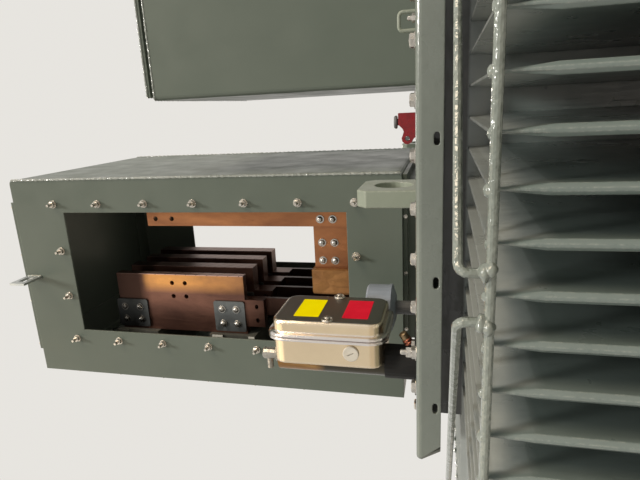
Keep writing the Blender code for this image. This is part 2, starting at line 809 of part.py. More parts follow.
def build_hv_box(paint):
    """Closed sheet box with a large roof opening under a bolted lid."""
    right = hv_left + hv_width
    half = lv_depth / 2
    top = cover_seat + hv_height
    bm = box((hv_left, -half, cover_seat), (right, half, top))
    bevel_where(bm, lambda a, b: is_vertical(a, b) or (is_along_y(a, b) and a.z > top - bevel_margin),
                hv_edge_radius, 3)
    shell = add_object("hv_box_shell", bm, paint, smooth=40)
    hollow = box((hv_left + lv_wall, -half + lv_wall, cover_seat + lv_wall),
                 (right - lv_wall, half - lv_wall, top - lv_wall))
    boolean(shell, "DIFFERENCE", hollow, "hv_hollow")
    inset = hv_opening_inset
    roof = box((hv_left + inset, -half + inset, top - lv_wall - reach),
               (right - inset, half - inset, top + reach))
    boolean(shell, "DIFFERENCE", roof, "hv_roof_opening")
    low = (hv_left + hv_lid_inset, -half + hv_lid_inset, top + seat)
    high = (right - hv_lid_inset, half - hv_lid_inset, top + seat + hv_lid_pad + hv_lid_thickness)
    add_object("hv_box_lid", plate_on_pad(low, high, hv_lid_pad, hv_lid_inset), paint)


def build_lifting_lugs(paint):
    """Thick plates with a shackle hole, on the middle line of the cover."""
    outline = ((0, 0), (lug_length, 0), (lug_length, lug_height - lug_corner),
               (lug_length - lug_corner, lug_height), (lug_corner, lug_height),
               (0, lug_height - lug_corner))
    start = cover_half_length - lug_setback
    for name, side in (("front_lifting_lug", -1), ("rear_lifting_lug", 1)):
        def place(y, z, side=side):
            return (-lug_thickness / 2, side * (start - y), cover_seat + z)
        bm = prism(outline, place, lug_thickness, (1, 0, 0))
        bevel_where(bm, lambda a, b: max(a.z, b.z) > cover_seat + bevel_margin, lug_edge, 1)
        lug = add_object(name, bm, paint)
        center = (0, side * (start - lug_length / 2), cover_seat + lug_hole_rise)
        hole = cylinder(center, lug_hole_diameter, lug_thickness + 2 * reach, "X", 24)
        boolean(lug, "DIFFERENCE", hole, f"{name}_hole")


def relay_ring(x, reach_out):
    """Rounded outline of the relay case at one place along X, widened or drawn in by reach_out."""
    middle_y = relay_front + relay_depth / 2
    middle_z = cover_seat + neck_height + seat + relay_height / 2
    outline = rounded_rectangle(relay_depth / 2 + reach_out, relay_height / 2 + reach_out,
                                relay_corner_radius + reach_out, 4)
    return [(x, middle_y + a, middle_z + b) for a, b in outline]


def build_relay(steel, black, zinc, amber):
    """Protection relay: case and lid meet at the rolled rim; case and gas chamber stand on a black neck."""
    edge = relay_edge_radius
    rim = relay_rim_reach
    roll = relay_rim_roll
    low_rim = rim * relay_rim_share
    case_end = relay_left + relay_case_length
    rim_end = case_end + relay_rim_width
    share = edge * relay_edge_share
    case = ((relay_left, -edge), (relay_left + share, -share), (relay_left + edge, 0),
            (case_end - relay_rim_slope, 0), (case_end, low_rim), (case_end + roll, rim),
            (rim_end - roll, rim), (rim_end, low_rim))
    add_object("relay_body", loft([relay_ring(x, out) for x, out in case]), steel, smooth=50)
    lid_start = rim_end + seat
    lid_rim_end = lid_start + relay_rim_width
    lid_end = lid_rim_end + relay_lid_length
    lid = ((lid_start, low_rim), (lid_start + roll, rim), (lid_rim_end - roll, rim), (lid_rim_end, low_rim),
           (lid_rim_end + relay_rim_slope, 0), (lid_end - edge, 0), (lid_end - share, -share),
           (lid_end, -edge))
    add_object("relay_lid", loft([relay_ring(x, out) for x, out in lid]), steel, smooth=50)

    plate_top = cover_seat + neck_plate_height
    middle = (neck_plate_left + neck_plate_width / 2, neck_plate_front + neck_plate_depth / 2)
    outline = rounded_rectangle(neck_plate_width / 2, neck_plate_depth / 2, neck_plate_corner, 3)
    neck = add_object("relay_neck", loft([[(middle[0] + a, middle[1] + b, z) for a, b in outline]
                                          for z in (cover_seat, plate_top)]), black, smooth=40)
    radius = neck_diameter / 2
    inside = plate_top - neck_plate_height / 2
    profile = ((0, inside), (radius, inside), (radius, cover_seat + neck_height),
               (0, cover_seat + neck_height))
    boolean(neck, "UNION", turned(profile, neck_center, 24), "neck_column")

    foot_z = cover_seat + neck_height + seat
    case_top = foot_z + relay_height
    radius = chamber_diameter / 2
    flat = math.degrees(math.acos((relay_left - seat - neck_center[0]) / radius))
    outline = arc(neck_center, radius, flat, 360 - flat, 20)
    add_object("relay_chamber", loft([[(x, y, z) for x, y in outline] for z in (foot_z, case_top)]),
               amber, smooth=40)

    foot_z = case_top + seat
    nut_top = foot_z + tap_nut_height
    top = foot_z + tap_height
    nut = tap_nut_diameter / 2
    body = tap_diameter / 2
    profile = ((0, foot_z), (nut, foot_z), (nut, nut_top), (body, nut_top + tap_edge),
               (body, top - tap_edge), (body - tap_edge, top), (0, top))
    tap = add_object("relay_tap", turned(profile, neck_center, 12), zinc, smooth=40)
    knob = cylinder((neck_center[0] - tap_knob_reach / 2, neck_center[1], top - tap_knob_diameter),
                    tap_knob_diameter, tap_knob_reach, "X", 10)
    boolean(tap, "UNION", knob, "tap_knob")


def build_filler(plastic, black):
    """Filler: a wide crowned cap with a lip and a sloping underside, on a slim dark post."""
    foot = cover_seat + post_height
    post = post_diameter / 2
    profile = ((0, cover_seat), (post, cover_seat), (post, foot - seat), (0, foot - seat))
    add_object("filler_post", turned(profile, cap_center, 16), black, smooth=40)
    radius = cap_diameter / 2
    lip = foot + cap_cone_height
    top = lip + cap_height
    profile = ((0, foot), (cap_cone_diameter / 2, foot), (radius + cap_lip, lip),
               (radius + cap_lip, lip + cap_lip_height), (radius, lip + cap_lip_height),
               (radius, top - cap_crown), (radius - cap_crown, top), (0, top))
    add_object("filler_cap", turned(profile, cap_center, 28), plastic, smooth=40)


def build_valve(red):
    """Small cast valve body with a ring at its left end and a raised head."""
    ring = valve_ring_diameter / 2
    ring_level = valve_height - valve_ring_drop - ring
    right = valve_length
    head = right - valve_head_length
    neck = 2 * ring
    outline = [(neck, 0), (right, 0), (right, valve_height), (head, valve_height),
               (head - valve_head_step, valve_height - valve_head_step),
               (neck + valve_neck_slope, valve_height - valve_head_step - valve_neck_slope)]
    outline += arc((ring, ring_level), ring, 50, 260, 6)
    bm = prism(outline, lambda a, b: (valve_left + a, valve_front, cover_seat + b), valve_thickness,
               (0, 1, 0))
    valve = add_object("filling_valve", bm, red)
    center = (valve_left + ring, valve_front + valve_thickness / 2, cover_seat + ring_level)
    hole = cylinder(center, valve_hole_diameter, valve_thickness + 2 * reach, "Y", 12)
    boolean(valve, "DIFFERENCE", hole, "valve_ring_hole")


def build_staple(paint):
    """Bent rod welded to the cover beside the earthing stud."""
    x, y = staple_center
    half = (staple_width - staple_rod_diameter) / 2
    top = cover_seat + staple_height - staple_rod_diameter / 2
    corners = ((x - half, y, cover_seat), (x - half, y, top), (x + half, y, top), (x + half, y, cover_seat))
    bent_rod("cover_staple", corners, staple_bend_radius, staple_rod_diameter, paint)


def build():
    clear_scene()
    paint = finish("tank_paint", (0.118, 0.138, 0.112), 0.0, 0.38)
    base = finish("base_paint", (0.095, 0.110, 0.092), 0.0, 0.50)
    zinc = finish("galvanized_steel", (0.42, 0.43, 0.43), 1.0, 0.45)
    steel = finish("stainless_steel", (0.60, 0.57, 0.52), 1.0, 0.25)
    copper = finish("busbar_copper", (0.55, 0.24, 0.11), 1.0, 0.35)
    resin = finish("cast_resin", (0.10, 0.045, 0.030), 0.0, 0.55)
    laminate = finish("support_laminate", (0.46, 0.44, 0.37), 0.0, 0.60)
    paper = finish("wrapping_paper", (0.33, 0.19, 0.085), 0.0, 0.80)
    black = finish("black_casting", (0.020, 0.020, 0.022), 0.0, 0.50)
    plastic = finish("cap_plastic", (0.31, 0.36, 0.44), 0.0, 0.45)
    red = finish("valve_paint", (0.26, 0.006, 0.010), 0.0, 0.40)
    amber = finish("amber_plastic", (0.30, 0.16, 0.06), 0.0, 0.20)
    build_skids(base)
    build_tank_floor(base)
    build_fin_walls(paint)
    build_bars(paint)
    build_stays(paint)
    build_rim(paint)
    build_cover(paint)
    build_lv_turret(paint)
    build_resin_plate(resin)
    build_lv_box(paint)
    build_lv_plates(paint, zinc)
    build_supports(laminate)
    build_busbars(copper)
    build_neutral(copper, paper)
    build_hv_box(paint)
    build_lifting_lugs(paint)
    build_relay(steel, black, zinc, amber)
    build_filler(plastic, black)
    build_valve(red)
    build_staple(paint)


build()
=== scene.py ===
import json
import math
import random

import bmesh
import bpy
from mathutils import Matrix, Vector


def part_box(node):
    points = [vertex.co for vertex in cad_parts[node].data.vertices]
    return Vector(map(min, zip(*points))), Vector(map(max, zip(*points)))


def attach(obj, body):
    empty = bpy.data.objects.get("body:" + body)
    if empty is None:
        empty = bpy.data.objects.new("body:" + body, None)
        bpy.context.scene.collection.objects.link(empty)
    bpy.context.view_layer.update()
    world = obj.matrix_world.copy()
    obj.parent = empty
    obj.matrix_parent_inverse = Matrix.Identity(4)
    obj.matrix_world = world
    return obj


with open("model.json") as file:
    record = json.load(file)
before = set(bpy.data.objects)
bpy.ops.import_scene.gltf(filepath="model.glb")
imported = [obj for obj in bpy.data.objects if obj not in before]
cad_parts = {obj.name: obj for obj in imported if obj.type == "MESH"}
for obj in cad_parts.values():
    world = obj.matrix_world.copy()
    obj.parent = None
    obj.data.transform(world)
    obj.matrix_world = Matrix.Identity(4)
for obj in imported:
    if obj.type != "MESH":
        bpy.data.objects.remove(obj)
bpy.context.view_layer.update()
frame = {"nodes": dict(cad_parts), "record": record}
nodes = frame["nodes"]
print("frame:", len(nodes), "nodes")


# node helpers
def addNode(tree, kind, inputs=None, **settings):
    made = tree.nodes.new("ShaderNode" + kind)
    for key, value in settings.items():
        setattr(made, key, value)
    for key, value in (inputs or {}).items():
        if isinstance(value, bpy.types.NodeSocket):
            tree.links.new(value, made.inputs[key])
        else:
            made.inputs[key].default_value = value
    return made


def startMaterial(name, **sockets):
    material = bpy.data.materials.new(name)
    material.use_nodes = True
    tree = material.node_tree
    shader = tree.nodes["Principled BSDF"]
    for key, value in sockets.items():
        shader.inputs[key.replace("_", " ")].default_value = value
    return material, tree, shader


def colourOf(values):
    return (*values, 1.0)


def darkerOf(colour, share):
    return tuple(share * c for c in colour)


def objectPoint(tree, stretch=(1.0, 1.0, 1.0)):
    point = addNode(tree, "TexCoord").outputs["Object"]
    return addNode(tree, "Mapping", {"Vector": point, "Scale": stretch}).outputs[0]


def noiseOf(tree, scale, detail, rough, stretch=(1.0, 1.0, 1.0), distortion=0.0):
    return addNode(tree, "TexNoise", {
        "Vector": objectPoint(tree, stretch), "Scale": scale, "Detail": detail,
        "Roughness": rough, "Distortion": distortion}).outputs[0]


def mathOf(tree, operation, first, second=0.0, clamp=False):
    return addNode(tree, "Math", {0: first, 1: second}, operation=operation, use_clamp=clamp).outputs[0]


def timesOf(tree, first, second):
    return mathOf(tree, "MULTIPLY", first, second)


def rangeOf(tree, value, low, high, toLow=0.0, toHigh=1.0):
    return addNode(tree, "MapRange", {
        "Value": value, "From Min": low, "From Max": high,
        "To Min": toLow, "To Max": toHigh}).outputs[0]


def cloudOf(tree, pattern):  # noise drawn out over its span
    noise = {key: value for key, value in pattern.items() if key != "span"}
    return rangeOf(tree, noiseOf(tree, **noise), *pattern["span"])


def mixOf(tree, factor, first, second):
    made = addNode(tree, "Mix", {0: factor}, data_type="RGBA")
    for index, value in ((6, first), (7, second)):  # the two colour sockets
        if isinstance(value, bpy.types.NodeSocket):
            tree.links.new(value, made.inputs[index])
        else:
            made.inputs[index].default_value = colourOf(value)
    return made.outputs[2]


def bumpOf(tree, height, strength, distance, normal=None):
    inputs = {"Height": height, "Strength": strength, "Distance": distance}
    if normal is not None:
        inputs["Normal"] = normal
    return addNode(tree, "Bump", inputs).outputs[0]


def axisOf(tree, axis):
    point = addNode(tree, "TexCoord").outputs["Object"]
    return addNode(tree, "SeparateXYZ", {0: point}).outputs[axis]


edgeValues = {"samples": 4, "span": (0.99, 0.86)}  # how far a rounded normal leans at an edge


def edgeOf(tree, radius):
    soft = addNode(tree, "Bevel", {"Radius": radius}, samples=edgeValues["samples"]).outputs[0]
    flat = addNode(tree, "NewGeometry").outputs["Normal"]
    same = addNode(tree, "VectorMath", {0: soft, 1: flat}, operation="DOT_PRODUCT").outputs["Value"]
    return soft, rangeOf(tree, same, *edgeValues["span"])


# paints
paintValues = {
    # the fin paint is the tank paint made lighter and bluer: painted skylight on the fins
    "finPaint": {"colour": (0.122, 0.156, 0.144), "second": (0.158, 0.194, 0.182), "rough": 0.30,
                 "lumps": 42.0, "lumpHeight": 0.35, "runs": 0.6, "specks": 0.5, "edge": 0.0026,
                 # on the fins the pale edge chips are set high to stand for a painted highlight along the fin
                 # edges
                 "wearAndHighlight": 0.55, "grime": 0.5, "relief": 0.60, "coat": 0.6,
                 # painted shade low down between the fins, and a painted sheen of the light from above just
                 # under the bar
                 "deep": {"front": (1.0270, 1.0190), "side": (0.6470, 0.6390),
                          "grey": (1.280, 1.060, 0.0, 0.72), "greyShare": 0.15,
                          "paintedSheen": (1.258, 1.290, 0.0, 0.70), "sheenColour": (0.44, 0.46, 0.44),
                          "wander": {"scale": 9.0, "detail": 3.0, "rough": 0.6}, "wanderHeight": 0.02},
                 "shade": {"span": (1.3020, 1.3060, 0.0, 0.96), "share": 0.06}},
    "barPaint": {"colour": (0.150, 0.172, 0.148), "second": (0.215, 0.238, 0.208), "rough": 0.26,
                 "lumps": 105.0, "lumpHeight": 1.5, "runs": 0.1, "specks": 0.8, "edge": 0.0010,
                 "wearAndHighlight": 0.0, "grime": 0.3, "relief": 0.85, "coat": 1.0},
    # the bead paint is the tank paint made paler: painted highlight along the weld seams
    "beadPaint": {"colour": (0.240, 0.260, 0.232), "second": (0.330, 0.350, 0.318), "rough": 0.22,
                  "lumps": 210.0, "lumpHeight": 1.2, "runs": 0.0, "specks": 0.8, "edge": 0.0008,
                  "wearAndHighlight": 0.0, "grime": 0.2, "relief": 0.80, "coat": 1.0},
    "coverPaint": {"colour": (0.124, 0.144, 0.122), "second": (0.156, 0.176, 0.150), "rough": 0.28,
                   "lumps": 60.0, "lumpHeight": 0.45, "runs": 0.45, "specks": 0.9, "edge": 0.0028,
                   "wearAndHighlight": 0.28, "grime": 0.35, "relief": 0.60, "coat": 0.8},
    "boxPaint": {"colour": (0.104, 0.126, 0.106), "second": (0.118, 0.140, 0.119), "rough": 0.34,
                 "lumps": 90.0, "lumpHeight": 0.10, "runs": 0.12, "specks": 0.25, "edge": 0.0022,
                 "wearAndHighlight": 0.30, "grime": 0.22, "relief": 0.35, "coat": 0.0, "shine": 0.30,
                 "tint": (1.0, 0.88, 0.72)},
    "lugPaint": {"colour": (0.205, 0.232, 0.178), "second": (0.235, 0.262, 0.205), "rough": 0.42,
                 "lumps": 70.0, "lumpHeight": 0.35, "runs": 0.3, "specks": 0.8, "edge": 0.0030,
                 "wearAndHighlight": 0.80, "grime": 0.3, "relief": 0.55, "coat": 0.2},
    "basePaint": {"colour": (0.090, 0.105, 0.088), "second": (0.112, 0.126, 0.106), "rough": 0.48,
                  "lumps": 50.0, "lumpHeight": 0.35, "runs": 0.3, "specks": 0.8, "edge": 0.0026,
                  "wearAndHighlight": 0.35, "grime": 0.8, "relief": 0.55, "coat": 0.0},
}
paintShared = {
    "ior": 1.5, "shine": 0.5, "tint": (1.0, 1.0, 1.0), "coatRough": 0.07, "smoother": 0.06, "rougher": 0.10,
    "grimeAmount": 0.45, "grimeShare": 0.55, "dustAmount": 0.35, "dustColour": (0.42, 0.43, 0.38),
    "chipAndHighlightColour": (0.50, 0.51, 0.45), "fineHeight": 0.03, "reliefHigh": 0.0022,
    "broad": {"scale": 3.1, "detail": 4.0, "rough": 0.6, "span": (0.35, 0.65)},
    "runs": {"scale": 1.0, "detail": 3.0, "rough": 0.55, "stretch": (34.0, 34.0, 2.6), "distortion": 0.4},
    "lumps": {"detail": 2.0, "rough": 0.5},
    "fine": {"scale": 620.0, "detail": 2.0, "rough": 0.6},
    "dust": {"scale": 260.0, "detail": 3.0, "rough": 0.7, "span": (0.70, 0.74)},
    "grime": {"scale": 7.0, "detail": 6.0, "rough": 0.65, "stretch": (1.0, 1.0, 0.35), "span": (0.50, 0.75)},
    "chips": {"scale": 160.0, "detail": 4.0, "rough": 0.7, "span": (0.40, 0.62)},
    "gloss": {"scale": 11.0, "detail": 4.0, "rough": 0.6}, "glossSpan": (0.3, 0.7),
}


def shadeFolds(tree, colour, paint, v):  # painted shade low down between the fins, painted sheen just under the bar
    inward = [rangeOf(tree, mathOf(tree, "ABSOLUTE", axisOf(tree, i)), *v[key])
              for i, key in ((1, "front"), (0, "side"))]
    inward = timesOf(tree, *inward)
    level = axisOf(tree, 2)
    grey = timesOf(tree, inward, rangeOf(tree, level, *v["grey"]))
    colour = mixOf(tree, grey, colour, darkerOf(paint, v["greyShare"]))
    wander = mathOf(tree, "ADD", level, timesOf(tree, noiseOf(tree, **v["wander"]), v["wanderHeight"]))
    paintedSheen = timesOf(tree, inward, rangeOf(tree, wander, *v["paintedSheen"]))
    return mixOf(tree, paintedSheen, colour, v["sheenColour"])


def makePaint(name, v, shared):
    material, tree, shader = startMaterial(
        name, IOR=shared["ior"], Coat_Weight=v["coat"], Coat_Roughness=shared["coatRough"],
        Specular_IOR_Level=v.get("shine", shared["shine"]),
        Specular_Tint=colourOf(v.get("tint", shared["tint"])))
    soft, edge = edgeOf(tree, v["edge"])
    grime = timesOf(tree, cloudOf(tree, shared["grime"]), shared["grimeAmount"] * v["grime"])
    dust = timesOf(tree, cloudOf(tree, shared["dust"]), shared["dustAmount"] * v["specks"])
    # pale chips on rubbed edges; where the share is high, as on the fins, they are also a painted edge
    # highlight
    chippedAndLit = timesOf(tree, timesOf(tree, edge, cloudOf(tree, shared["chips"])), v["wearAndHighlight"])
    colour = mixOf(tree, cloudOf(tree, shared["broad"]), v["colour"], v["second"])
    colour = mixOf(tree, grime, colour, darkerOf(v["colour"], shared["grimeShare"]))
    colour = mixOf(tree, dust, colour, shared["dustColour"])
    colour = mixOf(tree, chippedAndLit, colour, shared["chipAndHighlightColour"])
    if "deep" in v:
        colour = shadeFolds(tree, colour, v["colour"], v["deep"])
    if "shade" in v:  # the flat band above the fins lies in the dark
        shade = rangeOf(tree, axisOf(tree, 2), *v["shade"]["span"])
        colour = mixOf(tree, shade, colour, darkerOf(v["colour"], v["shade"]["share"]))
    tree.links.new(colour, shader.inputs["Base Color"])
    rough = rangeOf(tree, noiseOf(tree, **shared["gloss"]), *shared["glossSpan"],
                    v["rough"] - shared["smoother"], v["rough"] + shared["rougher"])
    tree.links.new(rough, shader.inputs["Roughness"])
    height = mathOf(tree, "ADD", timesOf(tree, noiseOf(tree, **shared["runs"]), v["runs"]),
                    timesOf(tree, noiseOf(tree, v["lumps"], **shared["lumps"]), v["lumpHeight"]))
    height = mathOf(tree, "ADD", height, timesOf(tree, noiseOf(tree, **shared["fine"]), shared["fineHeight"]))
    normal = bumpOf(tree, height, v["relief"], shared["reliefHigh"], soft)
    tree.links.new(normal, shader.inputs["Normal"])
    tree.links.new(normal, shader.inputs["Coat Normal"])
    return material


# steels and other bare metals
steelValues = {
    "zincSteel": {"colour": (0.66, 0.62, 0.56), "second": (0.34, 0.31, 0.27), "rough": 0.22, "cells": 260.0},
    "boltZinc": {"colour": (0.60, 0.57, 0.52), "second": (0.27, 0.255, 0.235), "rough": 0.26, "cells": 210.0},
    "galvanized": {"colour": (0.52, 0.54, 0.53), "second": (0.34, 0.36, 0.36), "rough": 0.40, "cells": 85.0},
    # the clamp steel and dome zinc get painted shade on their upper parts, under the box top
    "clampSteel": {"colour": (0.17, 0.18, 0.18), "second": (0.12, 0.13, 0.13), "rough": 0.46, "cells": 60.0,
                   "darkAbove": (2.150, 2.200)},
    "domeZinc": {"colour": (0.54, 0.52, 0.49), "second": (0.28, 0.27, 0.25), "rough": 0.26, "cells": 260.0,
                 "darkAbove": (2.150, 2.200)},
    "tapAlloy": {"colour": (0.46, 0.43, 0.38), "second": (0.16, 0.15, 0.13), "rough": 0.30, "cells": 190.0},
    "weldMetal": {"colour": (0.42, 0.42, 0.38), "second": (0.22, 0.23, 0.20), "rough": 0.34, "cells": 330.0},
    "brass": {"colour": (0.36, 0.26, 0.15), "second": (0.22, 0.15, 0.09), "rough": 0.40, "cells": 240.0},
    "redCopper": {"colour": (0.42, 0.15, 0.09), "second": (0.22, 0.08, 0.06), "rough": 0.36, "cells": 240.0},
}
steelShared = {
    "metallic": 0.92, "cellAmount": 0.45, "stainAmount": 0.55, "darkAmount": 0.85, "darkShare": 0.08,
    "smoother": 0.05, "rougher": 0.12, "relief": 0.25, "reliefHigh": 0.0006,
    "stain": {"scale": 45.0, "detail": 5.0, "rough": 0.65, "span": (0.40, 0.70)},
    "grain": {"scale": 420.0, "detail": 3.0, "rough": 0.6},
}


def makeSteel(name, v, shared):
    material, tree, shader = startMaterial(name, Metallic=shared["metallic"])
    cells = addNode(tree, "TexVoronoi", {"Vector": objectPoint(tree), "Scale": v["cells"]})
    shade = addNode(tree, "SeparateColor", {0: cells.outputs["Color"]}).outputs[0]
    stain = cloudOf(tree, shared["stain"])
    colour = mixOf(tree, timesOf(tree, shade, shared["cellAmount"]), v["colour"], v["second"])
    colour = mixOf(tree, timesOf(tree, stain, shared["stainAmount"]), colour, v["second"])
    # painted shade above the given height
    if "darkAbove" in v:
        dark = rangeOf(tree, axisOf(tree, 2), *v["darkAbove"], 0.0, shared["darkAmount"])
        colour = mixOf(tree, dark, colour, darkerOf(v["colour"], shared["darkShare"]))
    tree.links.new(colour, shader.inputs["Base Color"])
    rough = rangeOf(tree, shade, 0.0, 1.0, v["rough"] - shared["smoother"], v["rough"] + shared["rougher"])
    tree.links.new(rough, shader.inputs["Roughness"])
    grain = noiseOf(tree, **shared["grain"])
    tree.links.new(bumpOf(tree, grain, shared["relief"], shared["reliefHigh"]), shader.inputs["Normal"])
    return material


# drawn stainless steel of the relay, told apart by its places along X; its warm beige is partly painted
# reflection, its rounded corners carry a painted highlight and its lid face a painted dark reflection
stainlessValues = {
    # the case's warm beige is partly painted reflection, the corner colour a painted highlight and the face
    # colour a painted dark reflection
    "case": (0.76, 0.62, 0.425), "stain": (0.50, 0.38, 0.26), "stainAmount": 0.22,
    "rim": (0.74, 0.69, 0.66), "face": (0.300, 0.278, 0.250), "cornerHighlight": (0.86, 0.80, 0.74),
    "bodyRimFrom": -0.2650, "lidRimTo": -0.2495, "faceSpan": (-0.2272, -0.2266), "corner": 0.0065,
    "brightSpan": (0.0, 1.0, 1.0, 0.55), "faceRough": 0.34, "relief": 0.30, "reliefHigh": 0.0016,
    "cloud": {"scale": 16.0, "detail": 4.0, "rough": 0.6, "span": (0.3, 0.7)},
    "grain": {"scale": 1.0, "detail": 4.0, "rough": 0.6, "stretch": (700.0, 700.0, 22.0),
              "span": (0.3, 0.7, 0.18, 0.25)},
    "dents": {"scale": 14.0, "detail": 2.0, "rough": 0.5},
}


def makeStainless(name, v):
    material, tree, shader = startMaterial(name, Metallic=1.0)
    across = axisOf(tree, 0)
    rim = timesOf(tree, mathOf(tree, "GREATER_THAN", across, v["bodyRimFrom"]),
                  mathOf(tree, "LESS_THAN", across, v["lidRimTo"]))
    soft, edge = edgeOf(tree, v["corner"])
    bright = mathOf(tree, "MAXIMUM", rim, edge)
    face = rangeOf(tree, across, *v["faceSpan"])
    colour = mixOf(tree, timesOf(tree, cloudOf(tree, v["cloud"]), v["stainAmount"]), v["case"], v["stain"])
    # painted highlight on the rounded corners
    colour = mixOf(tree, edge, colour, v["cornerHighlight"])
    colour = mixOf(tree, rim, colour, v["rim"])
    # painted dark reflection on the lid face
    colour = mixOf(tree, face, colour, v["face"])
    tree.links.new(colour, shader.inputs["Base Color"])
    rough = timesOf(tree, cloudOf(tree, v["grain"]), rangeOf(tree, bright, *v["brightSpan"]))
    rough = mathOf(tree, "MAXIMUM", rough, timesOf(tree, face, v["faceRough"]))
    tree.links.new(rough, shader.inputs["Roughness"])
    dents = noiseOf(tree, **v["dents"])
    tree.links.new(bumpOf(tree, dents, v["relief"], v["reliefHigh"], soft), shader.inputs["Normal"])
    return material


# copper; the busbars carry a painted pool of light in one zone, a painted highlight on their side faces and
# painted shade above, below and behind it
copperValues = {
    # the lit colour is a painted pool of light, the edge colour a painted highlight with dark slanted ticks,
    # and the rest painted shade
    "barCopper": {"clean": (0.240, 0.115, 0.080), "brown": (0.115, 0.056, 0.042),
                  "lit": {"colour": (0.80, 0.38, 0.115), "left": (-0.3340, -0.3030), "top": (2.186, 2.172),
                          "front": -0.215, "foot": (1.960, 1.890, 1.0, 0.45),
                          "stain": {"scale": 15.0, "detail": 5.0, "rough": 0.65, "stretch": (1.0, 1.0, 0.6),
                                    "span": (0.30, 0.70, 1.0, 0.45)}},
                  "edge": {"from": -0.2782, "colour": (0.62, 0.40, 0.34), "tick": 0.032, "slant": 0.7,
                           "tickShare": 0.07},
                  "dark": {"above": (2.160, 2.196, 0.0, 0.92), "below": (1.880, 1.800, 0.0, 0.92),
                           "behind": (-0.205, -0.160, 0.0, 0.50), "share": 0.12}},
    "stripCopper": {"clean": (0.41, 0.175, 0.074), "brown": (0.19, 0.078, 0.038)},
}
copperShared = {
    "metallic": 0.85, "spotAmount": 0.45, "roughSpan": (0.3, 0.7, 0.29, 0.46),
    "relief": 0.16, "reliefHigh": 0.0005,
    "cloud": {"scale": 9.0, "detail": 5.0, "rough": 0.62, "stretch": (1.0, 1.0, 0.45), "distortion": 0.6,
              "span": (0.34, 0.66)},
    "spots": {"scale": 95.0, "detail": 4.0, "rough": 0.7, "span": (0.60, 0.72)},
    "grain": {"scale": 1.0, "detail": 4.0, "rough": 0.6, "stretch": (420.0, 420.0, 18.0)},
}


def shadeBusbars(tree, colour, v):
    lit, edge, dark = v["lit"], v["edge"], v["dark"]
    across, depth, up = (axisOf(tree, i) for i in range(3))
    # painted pool of light in one zone, broken up by noise and fading towards its foot
    zone = timesOf(tree, rangeOf(tree, across, *lit["left"]), rangeOf(tree, up, *lit["top"]))
    zone = timesOf(tree, zone, mathOf(tree, "LESS_THAN", depth, lit["front"]))
    zone = timesOf(tree, zone, timesOf(tree, cloudOf(tree, lit["stain"]), rangeOf(tree, up, *lit["foot"])))
    colour = mixOf(tree, zone, colour, lit["colour"])
    # painted highlight on the right side faces, crossed by dark slanted ticks
    slanted = mathOf(tree, "ADD", up, timesOf(tree, depth, edge["slant"]))
    marks = mathOf(tree, "FRACT", mathOf(tree, "DIVIDE", slanted, edge["tick"]))
    marks = mathOf(tree, "LESS_THAN", marks, edge["tickShare"])
    edgeHighlight = mixOf(tree, marks, edge["colour"], v["brown"])
    colour = mixOf(tree, mathOf(tree, "GREATER_THAN", across, edge["from"]), colour, edgeHighlight)
    # painted shade above, below and behind the lit zone
    shadeMask = mathOf(tree, "MAXIMUM", rangeOf(tree, up, *dark["above"]), rangeOf(tree, up, *dark["below"]))
    shadeMask = mathOf(tree, "MAXIMUM", shadeMask, rangeOf(tree, depth, *dark["behind"]))
    return mixOf(tree, shadeMask, colour, darkerOf(v["clean"], dark["share"]))


def makeCopper(name, v, shared):
    material, tree, shader = startMaterial(name, Metallic=shared["metallic"])
    colour = mixOf(tree, cloudOf(tree, shared["cloud"]), v["clean"], v["brown"])
    spots = timesOf(tree, cloudOf(tree, shared["spots"]), shared["spotAmount"])
    colour = mixOf(tree, spots, colour, v["brown"])
    if "lit" in v:
        colour = shadeBusbars(tree, colour, v)
    tree.links.new(colour, shader.inputs["Base Color"])
    grain = noiseOf(tree, **shared["grain"])
    tree.links.new(rangeOf(tree, grain, *shared["roughSpan"]), shader.inputs["Roughness"])
    tree.links.new(bumpOf(tree, grain, shared["relief"], shared["reliefHigh"]), shader.inputs["Normal"])
    return material


# plastics, resin, rubber, castings and films
plainValues = {
    "castResin": {"colour": (0.120, 0.040, 0.026), "second": (0.075, 0.030, 0.022), "rough": 0.30,
                  "scale": 18.0, "height": 0.15},
    "laminate": {"colour": (0.085, 0.085, 0.072), "second": (0.060, 0.060, 0.050), "rough": 0.60,
                 "scale": 60.0, "height": 0.25},
    "blackCasting": {"colour": (0.007, 0.007, 0.007), "second": (0.013, 0.012, 0.011), "rough": 0.60,
                     "shine": 0.25, "scale": 150.0, "height": 0.6},
    "capPlastic": {"colour": (0.235, 0.262, 0.305), "second": (0.205, 0.232, 0.272), "rough": 0.40,
                   "scale": 30.0, "height": 0.15},
    "capRubber": {"colour": (0.085, 0.088, 0.092), "second": (0.130, 0.130, 0.130), "rough": 0.55,
                  "scale": 80.0, "height": 0.3},
    "valvePaint": {"colour": (0.230, 0.006, 0.010), "second": (0.140, 0.004, 0.007), "rough": 0.30,
                   "scale": 120.0, "height": 0.5},
    "yellowFilm": {"colour": (1.000, 0.860, 0.000), "second": (0.950, 0.790, 0.000), "rough": 0.55,
                   "shine": 0.012, "scale": 22.0, "height": 0.10},
    "redFilm": {"colour": (0.780, 0.008, 0.036), "second": (0.700, 0.008, 0.032), "rough": 0.42,
                "shine": 0.12, "scale": 22.0, "height": 0.10},
    "creamPlastic": {"colour": (0.640, 0.600, 0.520), "second": (0.560, 0.520, 0.440), "rough": 0.45,
                     "scale": 60.0, "height": 0.15},
    "blankTag": {"colour": (0.720, 0.720, 0.670), "second": (0.560, 0.560, 0.510), "rough": 0.60,
                 "scale": 60.0, "height": 0.10},
}
